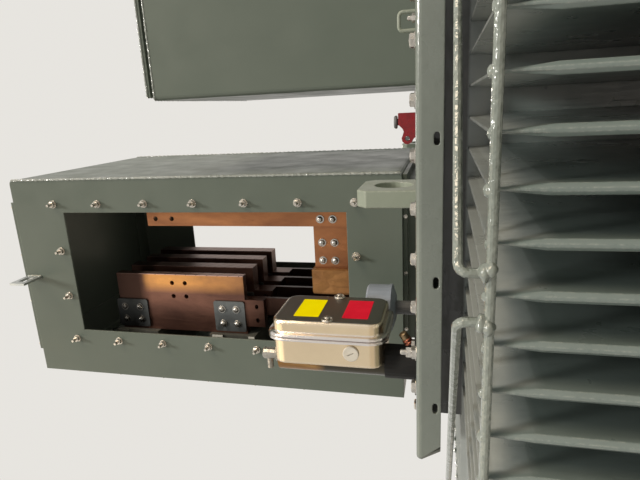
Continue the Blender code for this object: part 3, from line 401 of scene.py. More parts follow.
plainShared = {
    "ior": 1.48, "shine": 0.5, "cloud": {"detail": 4.0, "rough": 0.62}, "cloudSpan": (0.35, 0.68),
    "grain": {"detail": 3.0, "rough": 0.6}, "grainFiner": 5.0, "smoother": 0.05, "rougher": 0.08,
    "reliefHigh": 0.0008,
}


def makePlain(name, v, shared):
    material, tree, shader = startMaterial(name, IOR=shared["ior"],
                                           Specular_IOR_Level=v.get("shine", shared["shine"]))
    cloud = rangeOf(tree, noiseOf(tree, v["scale"], **shared["cloud"]), *shared["cloudSpan"])
    tree.links.new(mixOf(tree, cloud, v["colour"], v["second"]), shader.inputs["Base Color"])
    rough = rangeOf(tree, cloud, 0.0, 1.0, v["rough"] - shared["smoother"], v["rough"] + shared["rougher"])
    tree.links.new(rough, shader.inputs["Roughness"])
    grain = noiseOf(tree, v["scale"] * shared["grainFiner"], **shared["grain"])
    tree.links.new(bumpOf(tree, grain, v["height"], shared["reliefHigh"]), shader.inputs["Normal"])
    return material


# amber chamber, darker in its lower part, with lighter streaks in its upper part as painted highlights
amberValues = {
    "upper": (0.250, 0.125, 0.036), "lower": (0.040, 0.034, 0.020), "streakHighlight": (0.520, 0.330, 0.130),
    "fade": (1.5600, 1.5820), "streakAmount": 0.7, "rough": 0.22, "shine": 0.22,
    "streaks": {"scale": 1.0, "detail": 3.0, "rough": 0.6, "stretch": (160.0, 160.0, 6.0),
                "span": (0.52, 0.66)},
}


def makeAmber(name, v):
    material, tree, shader = startMaterial(name, Roughness=v["rough"], Specular_IOR_Level=v["shine"])
    streaks = timesOf(tree, cloudOf(tree, v["streaks"]), v["streakAmount"])
    # lighter streaks in the upper part: painted highlights
    upper = mixOf(tree, streaks, v["upper"], v["streakHighlight"])
    filled = rangeOf(tree, axisOf(tree, 2), *v["fade"])
    tree.links.new(mixOf(tree, filled, v["lower"], upper), shader.inputs["Base Color"])
    return material


# brown wrapping paper with soft folds and painted shade along the folds, darker at its left edge
paperValues = {
    "colour": (0.310, 0.150, 0.048), "second": (0.205, 0.092, 0.030), "foldShadeColour": (0.12, 0.060, 0.025),
    "leftColour": (0.09, 0.048, 0.020), "left": (-0.3018, -0.3068, 0.0, 0.65), "rough": 0.58, "shine": 0.22,
    "wander": {"Scale": 22.0, "Detail": 2.0}, "wanderBy": (0.018, 0.018, 0.018),
    "lean": (0.0, 0.7, 0.0), "stretch": (1.0, 0.6, 0.45), "folds": 26.0, "foldSpan": (0.0, 0.28),
    "foldAmount": 0.10, "cloud": {"scale": 24.0, "detail": 5.0, "rough": 0.65, "span": (0.3, 0.7)},
    "crumple": {"scale": 75.0, "detail": 3.0, "rough": 0.6}, "crumpleHeight": 0.50,
    "relief": 0.70, "reliefHigh": 0.0036,
}


def makePaper(name, v):
    material, tree, shader = startMaterial(name, Roughness=v["rough"], Specular_IOR_Level=v["shine"])
    wander = addNode(tree, "TexNoise", {"Vector": objectPoint(tree), **v["wander"]}).outputs["Color"]
    point = addNode(tree, "VectorMath", {0: wander, 1: v["wanderBy"]}, operation="MULTIPLY").outputs[0]
    point = addNode(tree, "VectorMath", {0: point, 1: objectPoint(tree)}, operation="ADD").outputs[0]
    place = {"Vector": point, "Rotation": v["lean"], "Scale": v["stretch"]}
    point = addNode(tree, "Mapping", place).outputs[0]
    folds = addNode(tree, "TexVoronoi", {"Vector": point, "Scale": v["folds"]},
                    feature="DISTANCE_TO_EDGE").outputs["Distance"]
    flat = rangeOf(tree, folds, *v["foldSpan"])
    foldShade = timesOf(tree, mathOf(tree, "SUBTRACT", 1.0, flat, clamp=True), v["foldAmount"])
    colour = mixOf(tree, cloudOf(tree, v["cloud"]), v["colour"], v["second"])
    # painted shade along the folds
    colour = mixOf(tree, foldShade, colour, v["foldShadeColour"])
    colour = mixOf(tree, rangeOf(tree, axisOf(tree, 0), *v["left"]), colour, v["leftColour"])
    tree.links.new(colour, shader.inputs["Base Color"])
    height = mathOf(tree, "ADD", flat, timesOf(tree, noiseOf(tree, **v["crumple"]), v["crumpleHeight"]))
    tree.links.new(bumpOf(tree, height, v["relief"], v["reliefHigh"]), shader.inputs["Normal"])
    return material


materials = {name: makePaint(name, values, paintShared) for name, values in paintValues.items()}
materials.update({name: makeSteel(name, values, steelShared) for name, values in steelValues.items()})
materials.update({name: makeCopper(name, values, copperShared) for name, values in copperValues.items()})
materials.update({name: makePlain(name, values, plainShared) for name, values in plainValues.items()})
materials["relaySteel"] = makeStainless("relaySteel", stainlessValues)
materials["wrappingPaper"] = makePaper("wrappingPaper", paperValues)
materials["amberGauge"] = makeAmber("amberGauge", amberValues)
print("materials:", len(materials))

# finish of each slot, and of the nodes that differ from their slot
slotFinish = {
    "tank_paint": "boxPaint", "base_paint": "basePaint", "galvanized_steel": "galvanized",
    "stainless_steel": "relaySteel", "busbar_copper": "barCopper", "cast_resin": "castResin",
    "support_laminate": "laminate", "wrapping_paper": "wrappingPaper", "black_casting": "blackCasting",
    "cap_plastic": "capPlastic", "valve_paint": "valvePaint", "amber_plastic": "amberGauge",
}
nodeFinish = {
    "cover": "coverPaint", "tank_rim": "coverPaint", "cover_staple": "lugPaint", "relay_tap": "tapAlloy",
    "filler_post": "capRubber", "lv_neutral_strip": "stripCopper", "lv_neutral_link": "stripCopper",
}
for side in ("front", "rear", "left", "right"):
    nodeFinish.update({side + "_fin_wall": "finPaint", side + "_upper_bar": "barPaint",
                       side + "_lower_bar": "barPaint"})
for end in ("front", "rear"):
    nodeFinish.update({end + "_left_stay": "barPaint", end + "_right_stay": "barPaint",
                       end + "_lifting_lug": "lugPaint"})
for subpart in frame["record"]["subparts"]:
    node = nodes[subpart["node"]]
    chosen = nodeFinish.get(subpart["node"], slotFinish[subpart["material_slot"]])
    for index in range(max(1, len(node.material_slots))):
        if not node.material_slots:
            node.data.materials.append(materials[chosen])
        node.material_slots[index].material = materials[chosen]
print("finishes set")


# piece helpers
mergeGap = 1e-6
smoothAngle = 35.0
washerEdge = 0.15  # share of a washer's height that its outer edge is cut back
lumpValues = {"subdivisions": 3, "tilt": 3.0, "across": (0.16, 3.1), "upright": (0.13, 4.3)}
beadValues = {"sides": 6, "spacing": 1.5, "wave": (0.22, 1.9), "scatter": 0.16, "end": 0.45}


def placeAt(point, along=(0.0, 0.0, 1.0), turn=0.0):
    spin = Vector((0.0, 0.0, 1.0)).rotation_difference(Vector(along).normalized()).to_matrix().to_4x4()
    return Matrix.Translation(point) @ spin @ Matrix.Rotation(turn, 4, "Z")


def lathe(bm, profile, segments, place=Matrix.Identity(4)):
    points = [bm.verts.new(place @ Vector((radius, 0.0, height))) for radius, height in profile]
    lines = [bm.edges.new(pair) for pair in zip(points, points[1:])]
    axis = place.to_3x3() @ Vector((0.0, 0.0, 1.0))
    bmesh.ops.spin(bm, geom=points + lines, cent=place.translation, axis=axis, angle=2 * math.pi,
                   steps=segments, use_merge=True)


def bevelEdges(bm, edges, offset, segments):
    bmesh.ops.bevel(bm, geom=edges, offset=offset, offset_type="OFFSET", segments=segments, profile=0.5,
                    affect="EDGES", material=-1)


def hexagon(bm, across, low, high, chamfer):
    radius = across / 2 / math.cos(math.pi / 6)
    middle = (low + high) / 2
    made = bmesh.ops.create_cone(bm, cap_ends=True, segments=6, radius1=radius, radius2=radius,
                                 depth=high - low, matrix=Matrix.Translation((0, 0, middle)))
    top = [vert for vert in made["verts"] if vert.co.z > middle]
    bevelEdges(bm, [e for e in bm.edges if e.verts[0] in top and e.verts[1] in top], chamfer, 1)


def plate(bm, middle, size, axis, corner, steps):  # flat plate, its corners along one axis rounded
    place = Matrix.Translation(middle) @ Matrix.Diagonal((*size, 1.0))
    made = bmesh.ops.create_cube(bm, size=1.0, matrix=place)
    edges = dict.fromkeys(e for vert in made["verts"] for e in vert.link_edges)
    along = [e for e in edges if abs(e.verts[0].co[axis] - e.verts[1].co[axis]) > size[axis] / 2]
    bevelEdges(bm, along, corner, steps)


def skinRings(bm, places, sides):  # unit circles at the places, joined in turn and closed at both ends
    rings = [bmesh.ops.create_circle(bm, cap_ends=False, segments=sides, radius=1.0, matrix=place)["verts"]
             for place in places]
    loops = [list(dict.fromkeys(e for vert in ring for e in vert.link_edges)) for ring in rings]
    for low, high in zip(loops, loops[1:]):
        bmesh.ops.bridge_loops(bm, edges=low + high)
    for loop in (loops[0], loops[-1]):
        bmesh.ops.edgeloop_fill(bm, edges=loop)


def pullRings(bm, rings, sides):  # a filled circle extruded through rings of width, depth and level
    shapes = [Matrix.Translation((0.0, 0.0, level)) @ Matrix.Diagonal((wide, deep, 1.0, 1.0))
              for wide, deep, level in rings]
    bmesh.ops.create_circle(bm, cap_ends=True, segments=sides, radius=1.0, matrix=shapes[0])
    caps = bm.faces[:]
    for step, (before, after) in enumerate(zip(shapes, shapes[1:])):
        made = bmesh.ops.extrude_face_region(bm, geom=caps)["geom"]
        if step:  # only the lowest cap stays
            bmesh.ops.delete(bm, geom=caps, context="FACES_ONLY")
        caps = [item for item in made if isinstance(item, bmesh.types.BMFace)]
        verts = [item for item in made if isinstance(item, bmesh.types.BMVert)]
        bmesh.ops.transform(bm, matrix=after @ before.inverted(), verts=verts)


def finishMesh(name, bm):
    bmesh.ops.remove_doubles(bm, verts=bm.verts, dist=mergeGap)
    bmesh.ops.recalc_face_normals(bm, faces=bm.faces)
    mesh = bpy.data.meshes.new(name)
    bm.to_mesh(mesh)
    bm.free()
    return mesh


def repeat(bm, mesh, places):
    for place in places:
        start = len(bm.verts)
        bm.from_mesh(mesh)
        bm.verts.ensure_lookup_table()
        bmesh.ops.transform(bm, matrix=place, verts=bm.verts[start:])


def addPiece(name, bm, material):
    mesh = finishMesh(name, bm)
    mesh.shade_smooth()
    mesh.set_sharp_from_angle(angle=math.radians(smoothAngle))
    mesh.materials.append(materials[material])
    piece = bpy.data.objects.new(name, mesh)
    bpy.context.scene.collection.objects.link(piece)
    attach(piece, "root")
    print("piece:", name, len(mesh.polygons))


def addRepeated(name, build, places, material):
    one, bm = bmesh.new(), bmesh.new()
    build(one)
    repeat(bm, finishMesh("one", one), places)
    addPiece(name, bm, material)


def bead(bm, points, radius, seed):  # wavy weld bead along a line of points
    v = beadValues
    rng = random.Random(seed)
    for start, end in zip(points, points[1:]):
        start, end = Vector(start), Vector(end)
        count = max(2, round((end - start).length / (radius * v["spacing"])))
        turned = placeAt((0.0, 0.0, 0.0), end - start, turn=-math.pi / 2)
        places = []
        for i in range(count + 1):
            wave = v["wave"][0] * math.sin(i * v["wave"][1])
            size = radius * (1.0 + wave + rng.uniform(-v["scatter"], v["scatter"]))
            size *= v["end"] if i in (0, count) else 1.0
            middle = Matrix.Translation(start.lerp(end, i / count))
            places.append(middle @ turned @ Matrix.Scale(size, 4))
        run = bmesh.new()
        skinRings(run, places, v["sides"])
        bm.from_mesh(finishMesh("run", run))


def lump(bm, centre, size, seed):  # uneven blob of weld
    v = lumpValues
    rng = random.Random(seed)
    made = bmesh.ops.create_icosphere(bm, subdivisions=v["subdivisions"], radius=1.0)
    tilt = rng.uniform(0.0, v["tilt"])
    for vert in made["verts"]:
        x, y, z = vert.co
        wave = 1.0 + v["across"][0] * math.sin(v["across"][1] * x + tilt)
        wave += v["upright"][0] * math.sin(v["upright"][1] * z + 2 * tilt)
        vert.co = Vector(centre) + Vector((x * size[0], y * size[1], z * size[2])) * wave


def washerProfile(inner, outer, high):
    cut = washerEdge * high
    return [(inner, 0.0), (outer, 0.0), (outer, high - cut), (outer - cut, high), (inner, high), (inner, 0.0)]


# bolts of the cover
coverBoltValues = {
    "line": {"y": 0.6605, "x": 0.3995}, "top": 1.3793, "pitch": 0.0822, "turn": 1.7,
    "frontX": (0.0, 0.0822, 0.1644, 0.2466, 0.3100), "sideCount": 15,
    "washer": (0.004, 0.0136, 0.0024), "washerSteps": 20, "across": 0.019, "foot": 0.0024, "head": 0.0096,
    "chamfer": 0.0016, "markSteps": 12,
    "mark": ((0.0, 0.0096), (0.0058, 0.0096), (0.0055, 0.0100), (0.0, 0.0100)),
    "tall": ((-0.2466, 0.0096, 1.0), (0.2770, 0.0, 0.68)), "tallTurn": 0.4,
    "nut": (0.0165, 0.0, 0.0085, 0.0012),
    "rod": ((0.0, 0.0), (0.0048, 0.0), (0.0048, 0.0165), (0.0036, 0.0180), (0.0, 0.0180)), "rodSteps": 12,
}


def makeCoverBolts(v):
    spots = []
    for side in (-1, 1):
        for x in v["frontX"]:
            spots += [(x, side * v["line"]["y"])] + ([(-x, side * v["line"]["y"])] if x else [])
        first = -(v["sideCount"] - 1) / 2
        spots += [(side * v["line"]["x"], (first + i) * v["pitch"]) for i in range(v["sideCount"])]
    places = [placeAt((x, y, v["top"]), turn=v["turn"] * i) for i, (x, y) in enumerate(spots)]

    def washer(bm):
        lathe(bm, washerProfile(*v["washer"]), v["washerSteps"])

    def head(bm):
        hexagon(bm, v["across"], v["foot"], v["head"], v["chamfer"])
        lathe(bm, v["mark"], v["markSteps"])

    def stud(bm):
        hexagon(bm, *v["nut"])
        lathe(bm, v["rod"], v["rodSteps"])

    addRepeated("coverWashers", washer, places, "boltZinc")
    addRepeated("coverBoltHeads", head, places, "boltZinc")
    tall = [placeAt((x, -v["line"]["y"], v["top"] + lift), turn=v["tallTurn"]) @ Matrix.Scale(size, 4)
            for x, lift, size in v["tall"]]
    addRepeated("coverStuds", stud, tall, "boltZinc")


makeCoverBolts(coverBoltValues)

# studs round the two windows of the low-voltage box
windowStudValues = {
    "columns": (-0.4503, -0.3191, -0.1879, -0.0567), "top": 2.3652, "pitch": 0.1376, "rows": 7,
    "front": -0.304, "rear": 0.304, "rowTurn": 0.9, "columnTurn": 3.0, "washer": (0.004, 0.0105, 0.0018),
    "washerSteps": 20, "foot": 0.0018, "across": 0.0155, "nut": 0.0103, "chamfer": 0.0012, "rod": 0.0042,
    "core": 0.86, "threads": 3, "threadPitch": 0.0032, "length": 0.0225, "rodSteps": 8,
}


def makeWindowStuds(v):
    places = []
    for wall, out in ((v["front"], -1.0), (v["rear"], 1.0)):
        for row in range(v["rows"]):
            outer = (v["columns"][0], v["columns"][-1])
            for x in v["columns"] if row in (0, v["rows"] - 1) else outer:
                at = (x, wall, v["top"] - row * v["pitch"])
                places.append(placeAt(at, (0.0, out, 0.0), turn=v["rowTurn"] * row + v["columnTurn"] * x))

    def washer(bm):
        lathe(bm, washerProfile(*v["washer"]), v["washerSteps"])

    def nut(bm):
        hexagon(bm, v["across"], v["foot"], v["nut"], v["chamfer"])

    def rod(bm):
        core = v["rod"] * v["core"]
        steps = [(0.0, v["foot"]), (v["rod"], v["foot"])]
        for i in range(v["threads"]):
            height = v["nut"] + i * v["threadPitch"]
            steps += [(v["rod"], height), (core, height + v["threadPitch"] / 2)]
        lathe(bm, steps + [(core, v["length"]), (0.0, v["length"])], v["rodSteps"])

    addRepeated("windowWashers", washer, places, "zincSteel")
    addRepeated("windowNuts", nut, places, "zincSteel")
    addRepeated("windowStuds", rod, places, "zincSteel")


makeWindowStuds(windowStudValues)

# clamp plates on the busbars, and the dome screws of the clamps, link and strip
domeValues = {"hole": 0.003, "washerHigh": 0.0016, "washerSteps": 18, "angles": (0.0, 0.35, 0.70, 1.00, 1.22),
              "socket": 0.0022, "socketShare": 0.95, "socketFoot": (0.0019, 0.0050), "steps": 12}
clampValues = {
    "fronts": (-0.2205, -0.1435, -0.0585, 0.0265), "gap": 0.0002, "thick": 0.0045, "corner": 0.006,
    "steps": 3,
    "plates": ((-0.4395, -0.3545, 2.1750, 2.2740), (-0.4400, -0.3500, 1.8730, 1.9650)),
    "inset": 0.0235, "rise": 0.0250, "dome": (0.0085, 0.0062, 0.0110),
}
linkScrewValues = {"link": (-0.2427, (-0.2180, -0.1710)), "strip": (-0.2530, (-0.1080,)),
                   "rows": (1.6365, 1.6045), "turn": 40, "dome": (0.0078, 0.0058, 0.0105)}


def domeHead(bm, radius, high, washer):
    v = domeValues
    foot = v["washerHigh"]
    lathe(bm, washerProfile(v["hole"], washer, foot), v["washerSteps"])
    dome = [(radius * math.cos(a), foot + high * math.sin(a)) for a in v["angles"]]
    socket = [(v["socket"], foot + high * v["socketShare"]), v["socketFoot"], (0.0, v["socketFoot"][1])]
    lathe(bm, [(0.0, foot)] + dome + socket, v["steps"])


def makeClamps(v):
    bm = bmesh.new()
    screws = []
    for front in v["fronts"]:
        for left, right, low, high in v["plates"]:
            middle = ((left + right) / 2, front - v["gap"] - v["thick"] / 2, (low + high) / 2)
            plate(bm, middle, (right - left, v["thick"], high - low), 1, v["corner"], v["steps"])
            for x in (left + v["inset"], right - v["inset"]):
                for z in (low + v["rise"], high - v["rise"]):
                    screws.append(placeAt((x, front - v["gap"] - v["thick"], z), (0.0, -1.0, 0.0)))
    addPiece("clampPlates", bm, "clampSteel")
    addRepeated("clampScrews", lambda bm: domeHead(bm, *v["dome"]), screws, "domeZinc")


def makeLinkScrews(v):
    places = [placeAt((x, face, z), (0.0, -1.0, 0.0), turn=x * v["turn"])
              for face, columns in (v["link"], v["strip"]) for x in columns for z in v["rows"]]
    addRepeated("linkScrews", lambda bm: domeHead(bm, *v["dome"]), places, "domeZinc")


makeClamps(clampValues)
makeLinkScrews(linkScrewValues)

# small bolts of the top and side plates, the high-voltage lid and the flange
smallBoltValues = {
    "topPlate": {"x": (-0.492, -0.353, -0.211, -0.070), "y": (-0.274, 0.274), "z": 2.5218},
    "sidePlate": {"x": -0.5693, "y": (-0.268, 0.268),
                  "z": (1.560, 1.7018, 1.8436, 1.9854, 2.1272, 2.2690, 2.4108)},
    "hvLid": {"x": (0.225, 0.376, 0.528), "y": (-0.274, 0.274), "z": 2.0444},
    "flange": {"x": (-0.3780, -0.2331, -0.0946), "y": (-0.284, 0.284), "z": 1.4240, "size": 0.55},
    "turn": 9, "washer": (0.003, 0.0082, 0.0014), "washerSteps": 16, "head": (0.010, 0.0014, 0.0069, 0.0010),
    "rod": ((0.0, 0.0055), (0.0028, 0.0055), (0.0028, 0.0100), (0.0, 0.0100)), "rodSteps": 8,
}


def makeSmallBolts(v):
    side, flange = v["sidePlate"], v["flange"]

    def upright(group):
        return [placeAt((x, y, group["z"]), turn=x * v["turn"]) for x in group["x"] for y in group["y"]]

    places = upright(v["topPlate"])
    places += [placeAt((side["x"], y, z), (-1.0, 0.0, 0.0), turn=z * v["turn"])
               for y in side["y"] for z in side["z"]]
    places += upright(v["hvLid"])
    smaller = Matrix.Scale(flange["size"], 4)
    places += [placeAt((x, y, flange["z"]), (0.0, y, 0.0), turn=x * v["turn"]) @ smaller
               for x in flange["x"] for y in flange["y"]]

    def head(bm):
        lathe(bm, washerProfile(*v["washer"]), v["washerSteps"])
        hexagon(bm, *v["head"])
        lathe(bm, v["rod"], v["rodSteps"])

    addRepeated("plateBolts", head, places, "zincSteel")


makeSmallBolts(smallBoltValues)

# blank films, lid screws and plug of the relay
relayValues = {
    "face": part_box("relay_lid")[1][0], "gap": 0.0001, "film": 0.0004, "round": 0.0012, "roundSteps": 3,
    "yellow": (-0.5795, -0.4925, 1.5688, 1.6183), "red": (-0.5795, -0.4900, 1.4735, 1.5232),
    "screws": ((-0.5925, 1.5480), (-0.4735, 1.5480)), "cupSteps": 24, "screwSteps": 18,
    "cup": ((0.0052, 0.0), (0.0115, 0.0), (0.0120, 0.0012), (0.0105, 0.0036), (0.0092, 0.0036),
            (0.0080, 0.0012), (0.0052, 0.0010), (0.0052, 0.0)),
    "screw": ((0.0, 0.0002), (0.0052, 0.0002), (0.0060, 0.0030), (0.0060, 0.0062), (0.0050, 0.0076),
              (0.0, 0.0080)),
    "plug": {"at": (-0.2850, -0.6055, 1.5030), "turn": 118, "sides": 32,
             "rings": ((0.0150, 0.0150, 0.0), (0.0150, 0.0150, 0.0032), (0.0140, 0.0140, 0.0042),
                       (0.0075, 0.0011, 0.0042), (0.0075, 0.0011, 0.0020))},
}


def makeRelayDetails(v):
    for colour in ("yellow", "red"):
        left, right, low, high = v[colour]
        middle = (v["face"] + v["gap"] + v["film"] / 2, (left + right) / 2, (low + high) / 2)
        bm = bmesh.new()
        plate(bm, middle, (v["film"], right - left, high - low), 0, v["round"], v["roundSteps"])
        addPiece(colour + "FilmBlank", bm, colour + "Film")

    spots = [placeAt((v["face"], y, z), (1.0, 0.0, 0.0)) for y, z in v["screws"]]
    for name, key in (("lidCups", "cup"), ("lidScrews", "screw")):
        addRepeated(name, lambda bm: lathe(bm, v[key], v[key + "Steps"]), spots, "zincSteel")

    plug = v["plug"]
    bm = bmesh.new()
    pullRings(bm, plug["rings"], plug["sides"])
    place = placeAt(plug["at"], (0.0, -1.0, 0.0), turn=math.radians(plug["turn"]))
    bmesh.ops.transform(bm, matrix=place, verts=bm.verts)
    addPiece("relayPlug", bm, "creamPlastic")


makeRelayDetails(relayValues)

# small fitting beside the relay's foot
fittingValues = {
    "foot": (-0.2800, -0.5600, 1.3985), "axis": (0.85, 0.0, 0.53), "ringsAt": (0.0, 0.0062), "ringSteps": 18,
    "ring": ((0.003, 0.0), (0.0078, 0.0), (0.0088, 0.0012), (0.0088, 0.0040), (0.0078, 0.0052),
             (0.003, 0.0052), (0.003, 0.0)),
    "body": ((0.0, 0.0005), (0.0045, 0.0005), (0.0045, 0.0120), (0.0080, 0.0124), (0.0080, 0.0230),
             (0.0066, 0.0248), (0.0, 0.0248)), "bodySteps": 24,
    "nut": (0.0150, 0.0, 0.0100, 0.0012), "nutAt": (-0.2800, -0.5600, 1.3856),
}


def makeFitting(v):
    place = placeAt(v["foot"], v["axis"])
    bm = bmesh.new()
    for low in v["ringsAt"]:
        lathe(bm, v["ring"], v["ringSteps"], place @ Matrix.Translation((0.0, 0.0, low)))
    addPiece("fittingRings", bm, "redCopper")
    bm = bmesh.new()
    lathe(bm, v["body"], v["bodySteps"], place)
    addPiece("fittingBody", bm, "brass")
    bm = bmesh.new()
    hexagon(bm, *v["nut"])
    bmesh.ops.transform(bm, matrix=placeAt(v["nutAt"]), verts=bm.verts)
    addPiece("fittingNut", bm, "zincSteel")


makeFitting(fittingValues)

# blank tags on the front of the lower busbar support, measured from its inner edge
tagValues = {"box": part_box("lv_lower_support"), "gap": 0.0001, "thick": 0.0006, "corner": 0.001, "steps": 2,
             "tags": ((-0.0110, -0.0004, 0.0965, 0.1285), (-0.0110, -0.0004, 0.0015, 0.0195))}


def makeTags(v):
    low, high = v["box"]
    bm = bmesh.new()
    for left, right, bottom, top in v["tags"]:
        front = low[1] - v["gap"] - v["thick"] / 2
        middle = (high[0] + (left + right) / 2, front, low[2] + (bottom + top) / 2)
        plate(bm, middle, (right - left, v["thick"], top - bottom), 1, v["corner"], v["steps"])
    addPiece("blankTags", bm, "blankTag")


makeTags(tagValues)

# cap, pin and feet of the filling valve
valveValues = {
    "capAt": (0.1270, -0.4830, 1.4207), "capSteps": 24,
    "cap": ((0.0, -0.0002), (0.0060, -0.0002), (0.0060, 0.0018), (0.0108, 0.0022), (0.0118, 0.0032),
            (0.0118, 0.0058), (0.0102, 0.0078), (0.0, 0.0078)),
    "pinAt": (0.0979, -0.4955, 1.4038), "pin": ((0.0, 0.0), (0.0036, 0.0), (0.0036, 0.0250), (0.0, 0.0250)),
    "pinSteps": 16, "feetAt": ((0.1010, 0.1130, 0.1260, 0.1380), -0.4975, 1.3793),
    "foot": ((0.0, 0.0), (0.0030, 0.0), (0.0030, 0.0060), (0.0, 0.0060)), "footSteps": 10,
}


def makeValveDetails(v):
    bm = bmesh.new()
    lathe(bm, v["cap"], v["capSteps"], placeAt(v["capAt"]))
    lathe(bm, v["pin"], v["pinSteps"], placeAt(v["pinAt"], (0.0, 1.0, 0.0)))
    addPiece("valveCapAndPin", bm, "capRubber")
    columns, y, z = v["feetAt"]
    addRepeated("valveFeet", lambda bm: lathe(bm, v["foot"], v["footSteps"]),
                [placeAt((x, y, z)) for x in columns], "zincSteel")


makeValveDetails(valveValues)

# weld lumps where the fins and stays meet the bars
weldLumpValues = {
    "pitch": 0.045, "front": 15, "side": 27, "levels": (1.3000, 0.2430), "frontLine": 1.0325,
    "sideLine": 0.6525, "size": (0.0080, 0.0044, 0.0042), "sizes": (0.8, 1.2), "rise": 0.0022,
    "riseScatter": 0.0008, "seed": 11, "footX": 0.0218, "footY": 1.0353, "foot": (0.0085, 0.0075, 0.0070),
    "footSpots": ((0.0, 0.0, 0.0050, 3), (0.004, 0.001, 0.0015, 8)), "collar": (-0.0015, 0.0170),
    "collarSize": 0.52, "collarSeed": 5,
}


def makeWeldLumps(v):
    rng = random.Random(v["seed"])

    def row(count, order, spot):
        for i in range(count):
            along = (i - (count - 1) / 2) * v["pitch"]
            size = [v["size"][k] * rng.uniform(*v["sizes"]) for k in order]
            lift = level + v["rise"] + rng.uniform(-v["riseScatter"], v["riseScatter"])
            lump(bm, (*spot(along), lift), size, i)

    bm = bmesh.new()
    for level in v["levels"]:
        for side in (-1, 1):
            row(v["front"], (0, 1, 2), lambda along: (along, side * v["frontLine"]))
            row(v["side"], (1, 0, 2), lambda along: (side * v["sideLine"], along))
    addPiece("finWelds", bm, "barPaint")

    bm = bmesh.new()
    for side in (-1, 1):
        for hand in (-1, 1):
            foot = Vector((hand * v["footX"], side * v["footY"], v["levels"][0]))
            for x, y, z, seed in v["footSpots"]:
                lump(bm, foot + Vector((x * hand, side * y, z)), v["foot"], seed + hand)
            back, up = v["collar"]
            lump(bm, foot + Vector((0.0, side * back, up)), [s * v["collarSize"] for s in v["foot"]],
                 v["collarSeed"])
    addPiece("stayWelds", bm, "barPaint")


makeWeldLumps(weldLumpValues)

# weld seams
seamValues = {
    "lvEdge": {"x": 0.0100, "y": 0.3035, "z": (1.4320, 2.4880), "radius": 0.0033, "seed": 20},
    "frames": (
        {"low": (-0.4120, -0.2600), "high": (-0.0200, 0.2600), "z": 1.3805, "radius": 0.0035, "seed": 6},
        {"low": (0.1963, -0.3040), "high": (0.5570, 0.3040), "z": 1.3805, "radius": 0.0035, "seed": 6},
        {"low": (0.1980, -0.3028), "high": (0.5553, 0.3028), "z": 2.0206, "radius": 0.0028, "seed": 5},
        {"low": (0.2056, -0.2948), "high": (0.5477, 0.2948), "z": 2.0440, "radius": 0.0026, "seed": 5}),
    "lugFoot": {"x": 0.0160, "y": (0.4475, 0.5805), "z": 1.3800, "radius": 0.0045, "seed": 40},
    "boxLug": {"x": (-0.2690, -0.2630), "y": -0.3052, "z": (2.4470, 2.4930), "radius": 0.0028, "seed": 60},
}


def frameBead(bm, low, high, z, radius, seed):  # bead round a rectangle
    corners = ((low[0], low[1]), (high[0], low[1]), (high[0], high[1]), (low[0], high[1]), (low[0], low[1]))
    bead(bm, [(x, y, z) for x, y in corners], radius, seed)


def uprightBead(bm, x, y, z, radius, seed):
    bead(bm, [(x, y, z[0]), (x, y, z[1])], radius, seed)


def makeSeams(v):
    bm = bmesh.new()
    edge = v["lvEdge"]
    for i, y in enumerate((-edge["y"], edge["y"])):
        uprightBead(bm, edge["x"], y, edge["z"], edge["radius"], edge["seed"] + i)
    for seam in v["frames"]:
        frameBead(bm, **seam)
    foot = v["lugFoot"]
    for side in (-1, 1):
        near, far = (side * y for y in foot["y"])
        frameBead(bm, (-foot["x"], near), (foot["x"], far), foot["z"], foot["radius"], foot["seed"] + side)
    addPiece("paintedSeams", bm, "beadPaint")
    bm = bmesh.new()
    lug = v["boxLug"]
    for i, x in enumerate(lug["x"]):
        uprightBead(bm, x, lug["y"], lug["z"], lug["radius"], lug["seed"] + i)
    addPiece("lugSeams", bm, "weldMetal")


makeSeams(seamValues)

# camera
cameraValues = {"place": (0.1608, -1.4511, 1.3385), "yaw": 0.263, "pitch": 0.2379, "roll": 0.0111,
                "focalPixels": 507.70, "sensor": 36.0, "pictureWidth": 640, "nearest": 0.02}


def makeCamera(v):
    flat = math.cos(v["pitch"])
    forward = Vector((-math.sin(v["yaw"]) * flat, math.cos(v["yaw"]) * flat, math.sin(v["pitch"])))
    right = Vector((math.cos(v["yaw"]), math.sin(v["yaw"]), 0.0))
    up = right.cross(forward)
    rolledRight = math.cos(v["roll"]) * right + math.sin(v["roll"]) * up
    rolledUp = math.cos(v["roll"]) * up - math.sin(v["roll"]) * right
    data = bpy.data.cameras.new("camera")
    data.sensor_width = v["sensor"]
    data.lens = v["focalPixels"] * v["sensor"] / v["pictureWidth"]
    data.clip_start = v["nearest"]
    camera = bpy.data.objects.new("camera", data)
    turned = Matrix((-rolledUp, rolledRight, -forward)).transposed().to_4x4()  # rolled a quarter turn
    camera.matrix_world = Matrix.Translation(v["place"]) @ turned
    bpy.context.scene.collection.objects.link(camera)
    bpy.context.scene.camera = camera


makeCamera(cameraValues)

# light and backdrop
worldValues = {"light": (0.93, 0.97, 1.0), "strength": 0.32, "backdrop": (0.80, 0.78, 0.74)}


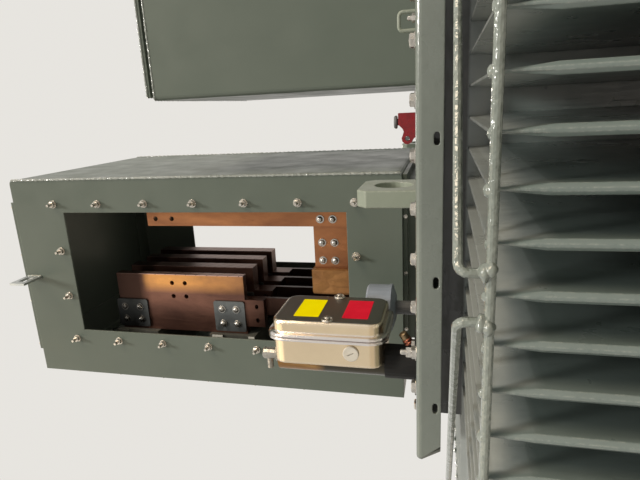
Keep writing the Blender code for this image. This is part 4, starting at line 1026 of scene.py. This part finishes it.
def makeWorld(v):
    world = bpy.data.worlds.new("studio")
    bpy.context.scene.world = world
    world.use_nodes = True
    tree = world.node_tree
    tree.nodes.clear()
    path = addNode(tree, "LightPath").outputs
    seen = mathOf(tree, "ADD", path["Is Camera Ray"], path["Is Glossy Ray"], clamp=True)
    seen = mathOf(tree, "ADD", seen, path["Is Transmission Ray"], clamp=True)
    light = addNode(tree, "Background", {"Color": colourOf(v["light"]), "Strength": v["strength"]})
    backdrop = addNode(tree, "Background", {"Color": colourOf(v["backdrop"]), "Strength": 1.0})
    both = addNode(tree, "MixShader", {0: seen, 1: light.outputs[0], 2: backdrop.outputs[0]})
    addNode(tree, "OutputWorld", {"Surface": both.outputs[0]})


makeWorld(worldValues)
bpy.context.scene.view_settings.view_transform = "Standard"

lampValues = {
    "mainLamp": {"towards": (-0.026, 0.055, -0.10), "strength": 2.5, "angle": 11.0,
                 "colour": (1.0, 0.97, 0.92)},
    "warmLamp": {"towards": (0.10, 0.0835, -0.16), "strength": 0.55, "angle": 45.0,
                 "colour": (1.0, 0.84, 0.62)},
    "sideLamp": {"towards": (-0.10, 0.045, -0.060), "strength": 1.45, "angle": 24.0,
                 "colour": (1.0, 0.83, 0.62)},
    "rearLamp": {"towards": (0.02, -0.10, -0.11), "strength": 1.2, "angle": 12.0,
                 "colour": (1.0, 0.90, 0.76)},
}


def makeLamp(name, v):
    data = bpy.data.lights.new(name, "SUN")
    data.energy = v["strength"]
    data.angle = math.radians(v["angle"])
    data.color = v["colour"]
    lamp = bpy.data.objects.new(name, data)
    lamp.rotation_euler = Vector(v["towards"]).to_track_quat("-Z", "Y").to_euler()
    bpy.context.scene.collection.objects.link(lamp)


for name, values in lampValues.items():
    makeLamp(name, values)

floorValues = {
    "size": 40.0, "parts": 4, "drop": 0.0005, "rough": 0.8,
    "colour": (0.42, 0.41, 0.39), "second": (0.38, 0.37, 0.35),
    "cloud": {"scale": 1.2, "detail": 5.0, "rough": 0.6, "span": (0.3, 0.7)},
}


def makeFloor(v):
    material, tree, shader = startMaterial("floorFinish", Roughness=v["rough"])
    colour = mixOf(tree, cloudOf(tree, v["cloud"]), v["colour"], v["second"])
    tree.links.new(colour, shader.inputs["Base Color"])
    bm = bmesh.new()
    bmesh.ops.create_grid(bm, x_segments=v["parts"], y_segments=v["parts"], size=v["size"] / 2)
    mesh = bpy.data.meshes.new("floor")
    bm.to_mesh(mesh)
    bm.free()
    mesh.materials.append(material)
    floor = bpy.data.objects.new("floor", mesh)
    floor.location = (0.0, 0.0, -v["drop"])
    bpy.context.scene.collection.objects.link(floor)


makeFloor(floorValues)
print("stage set")
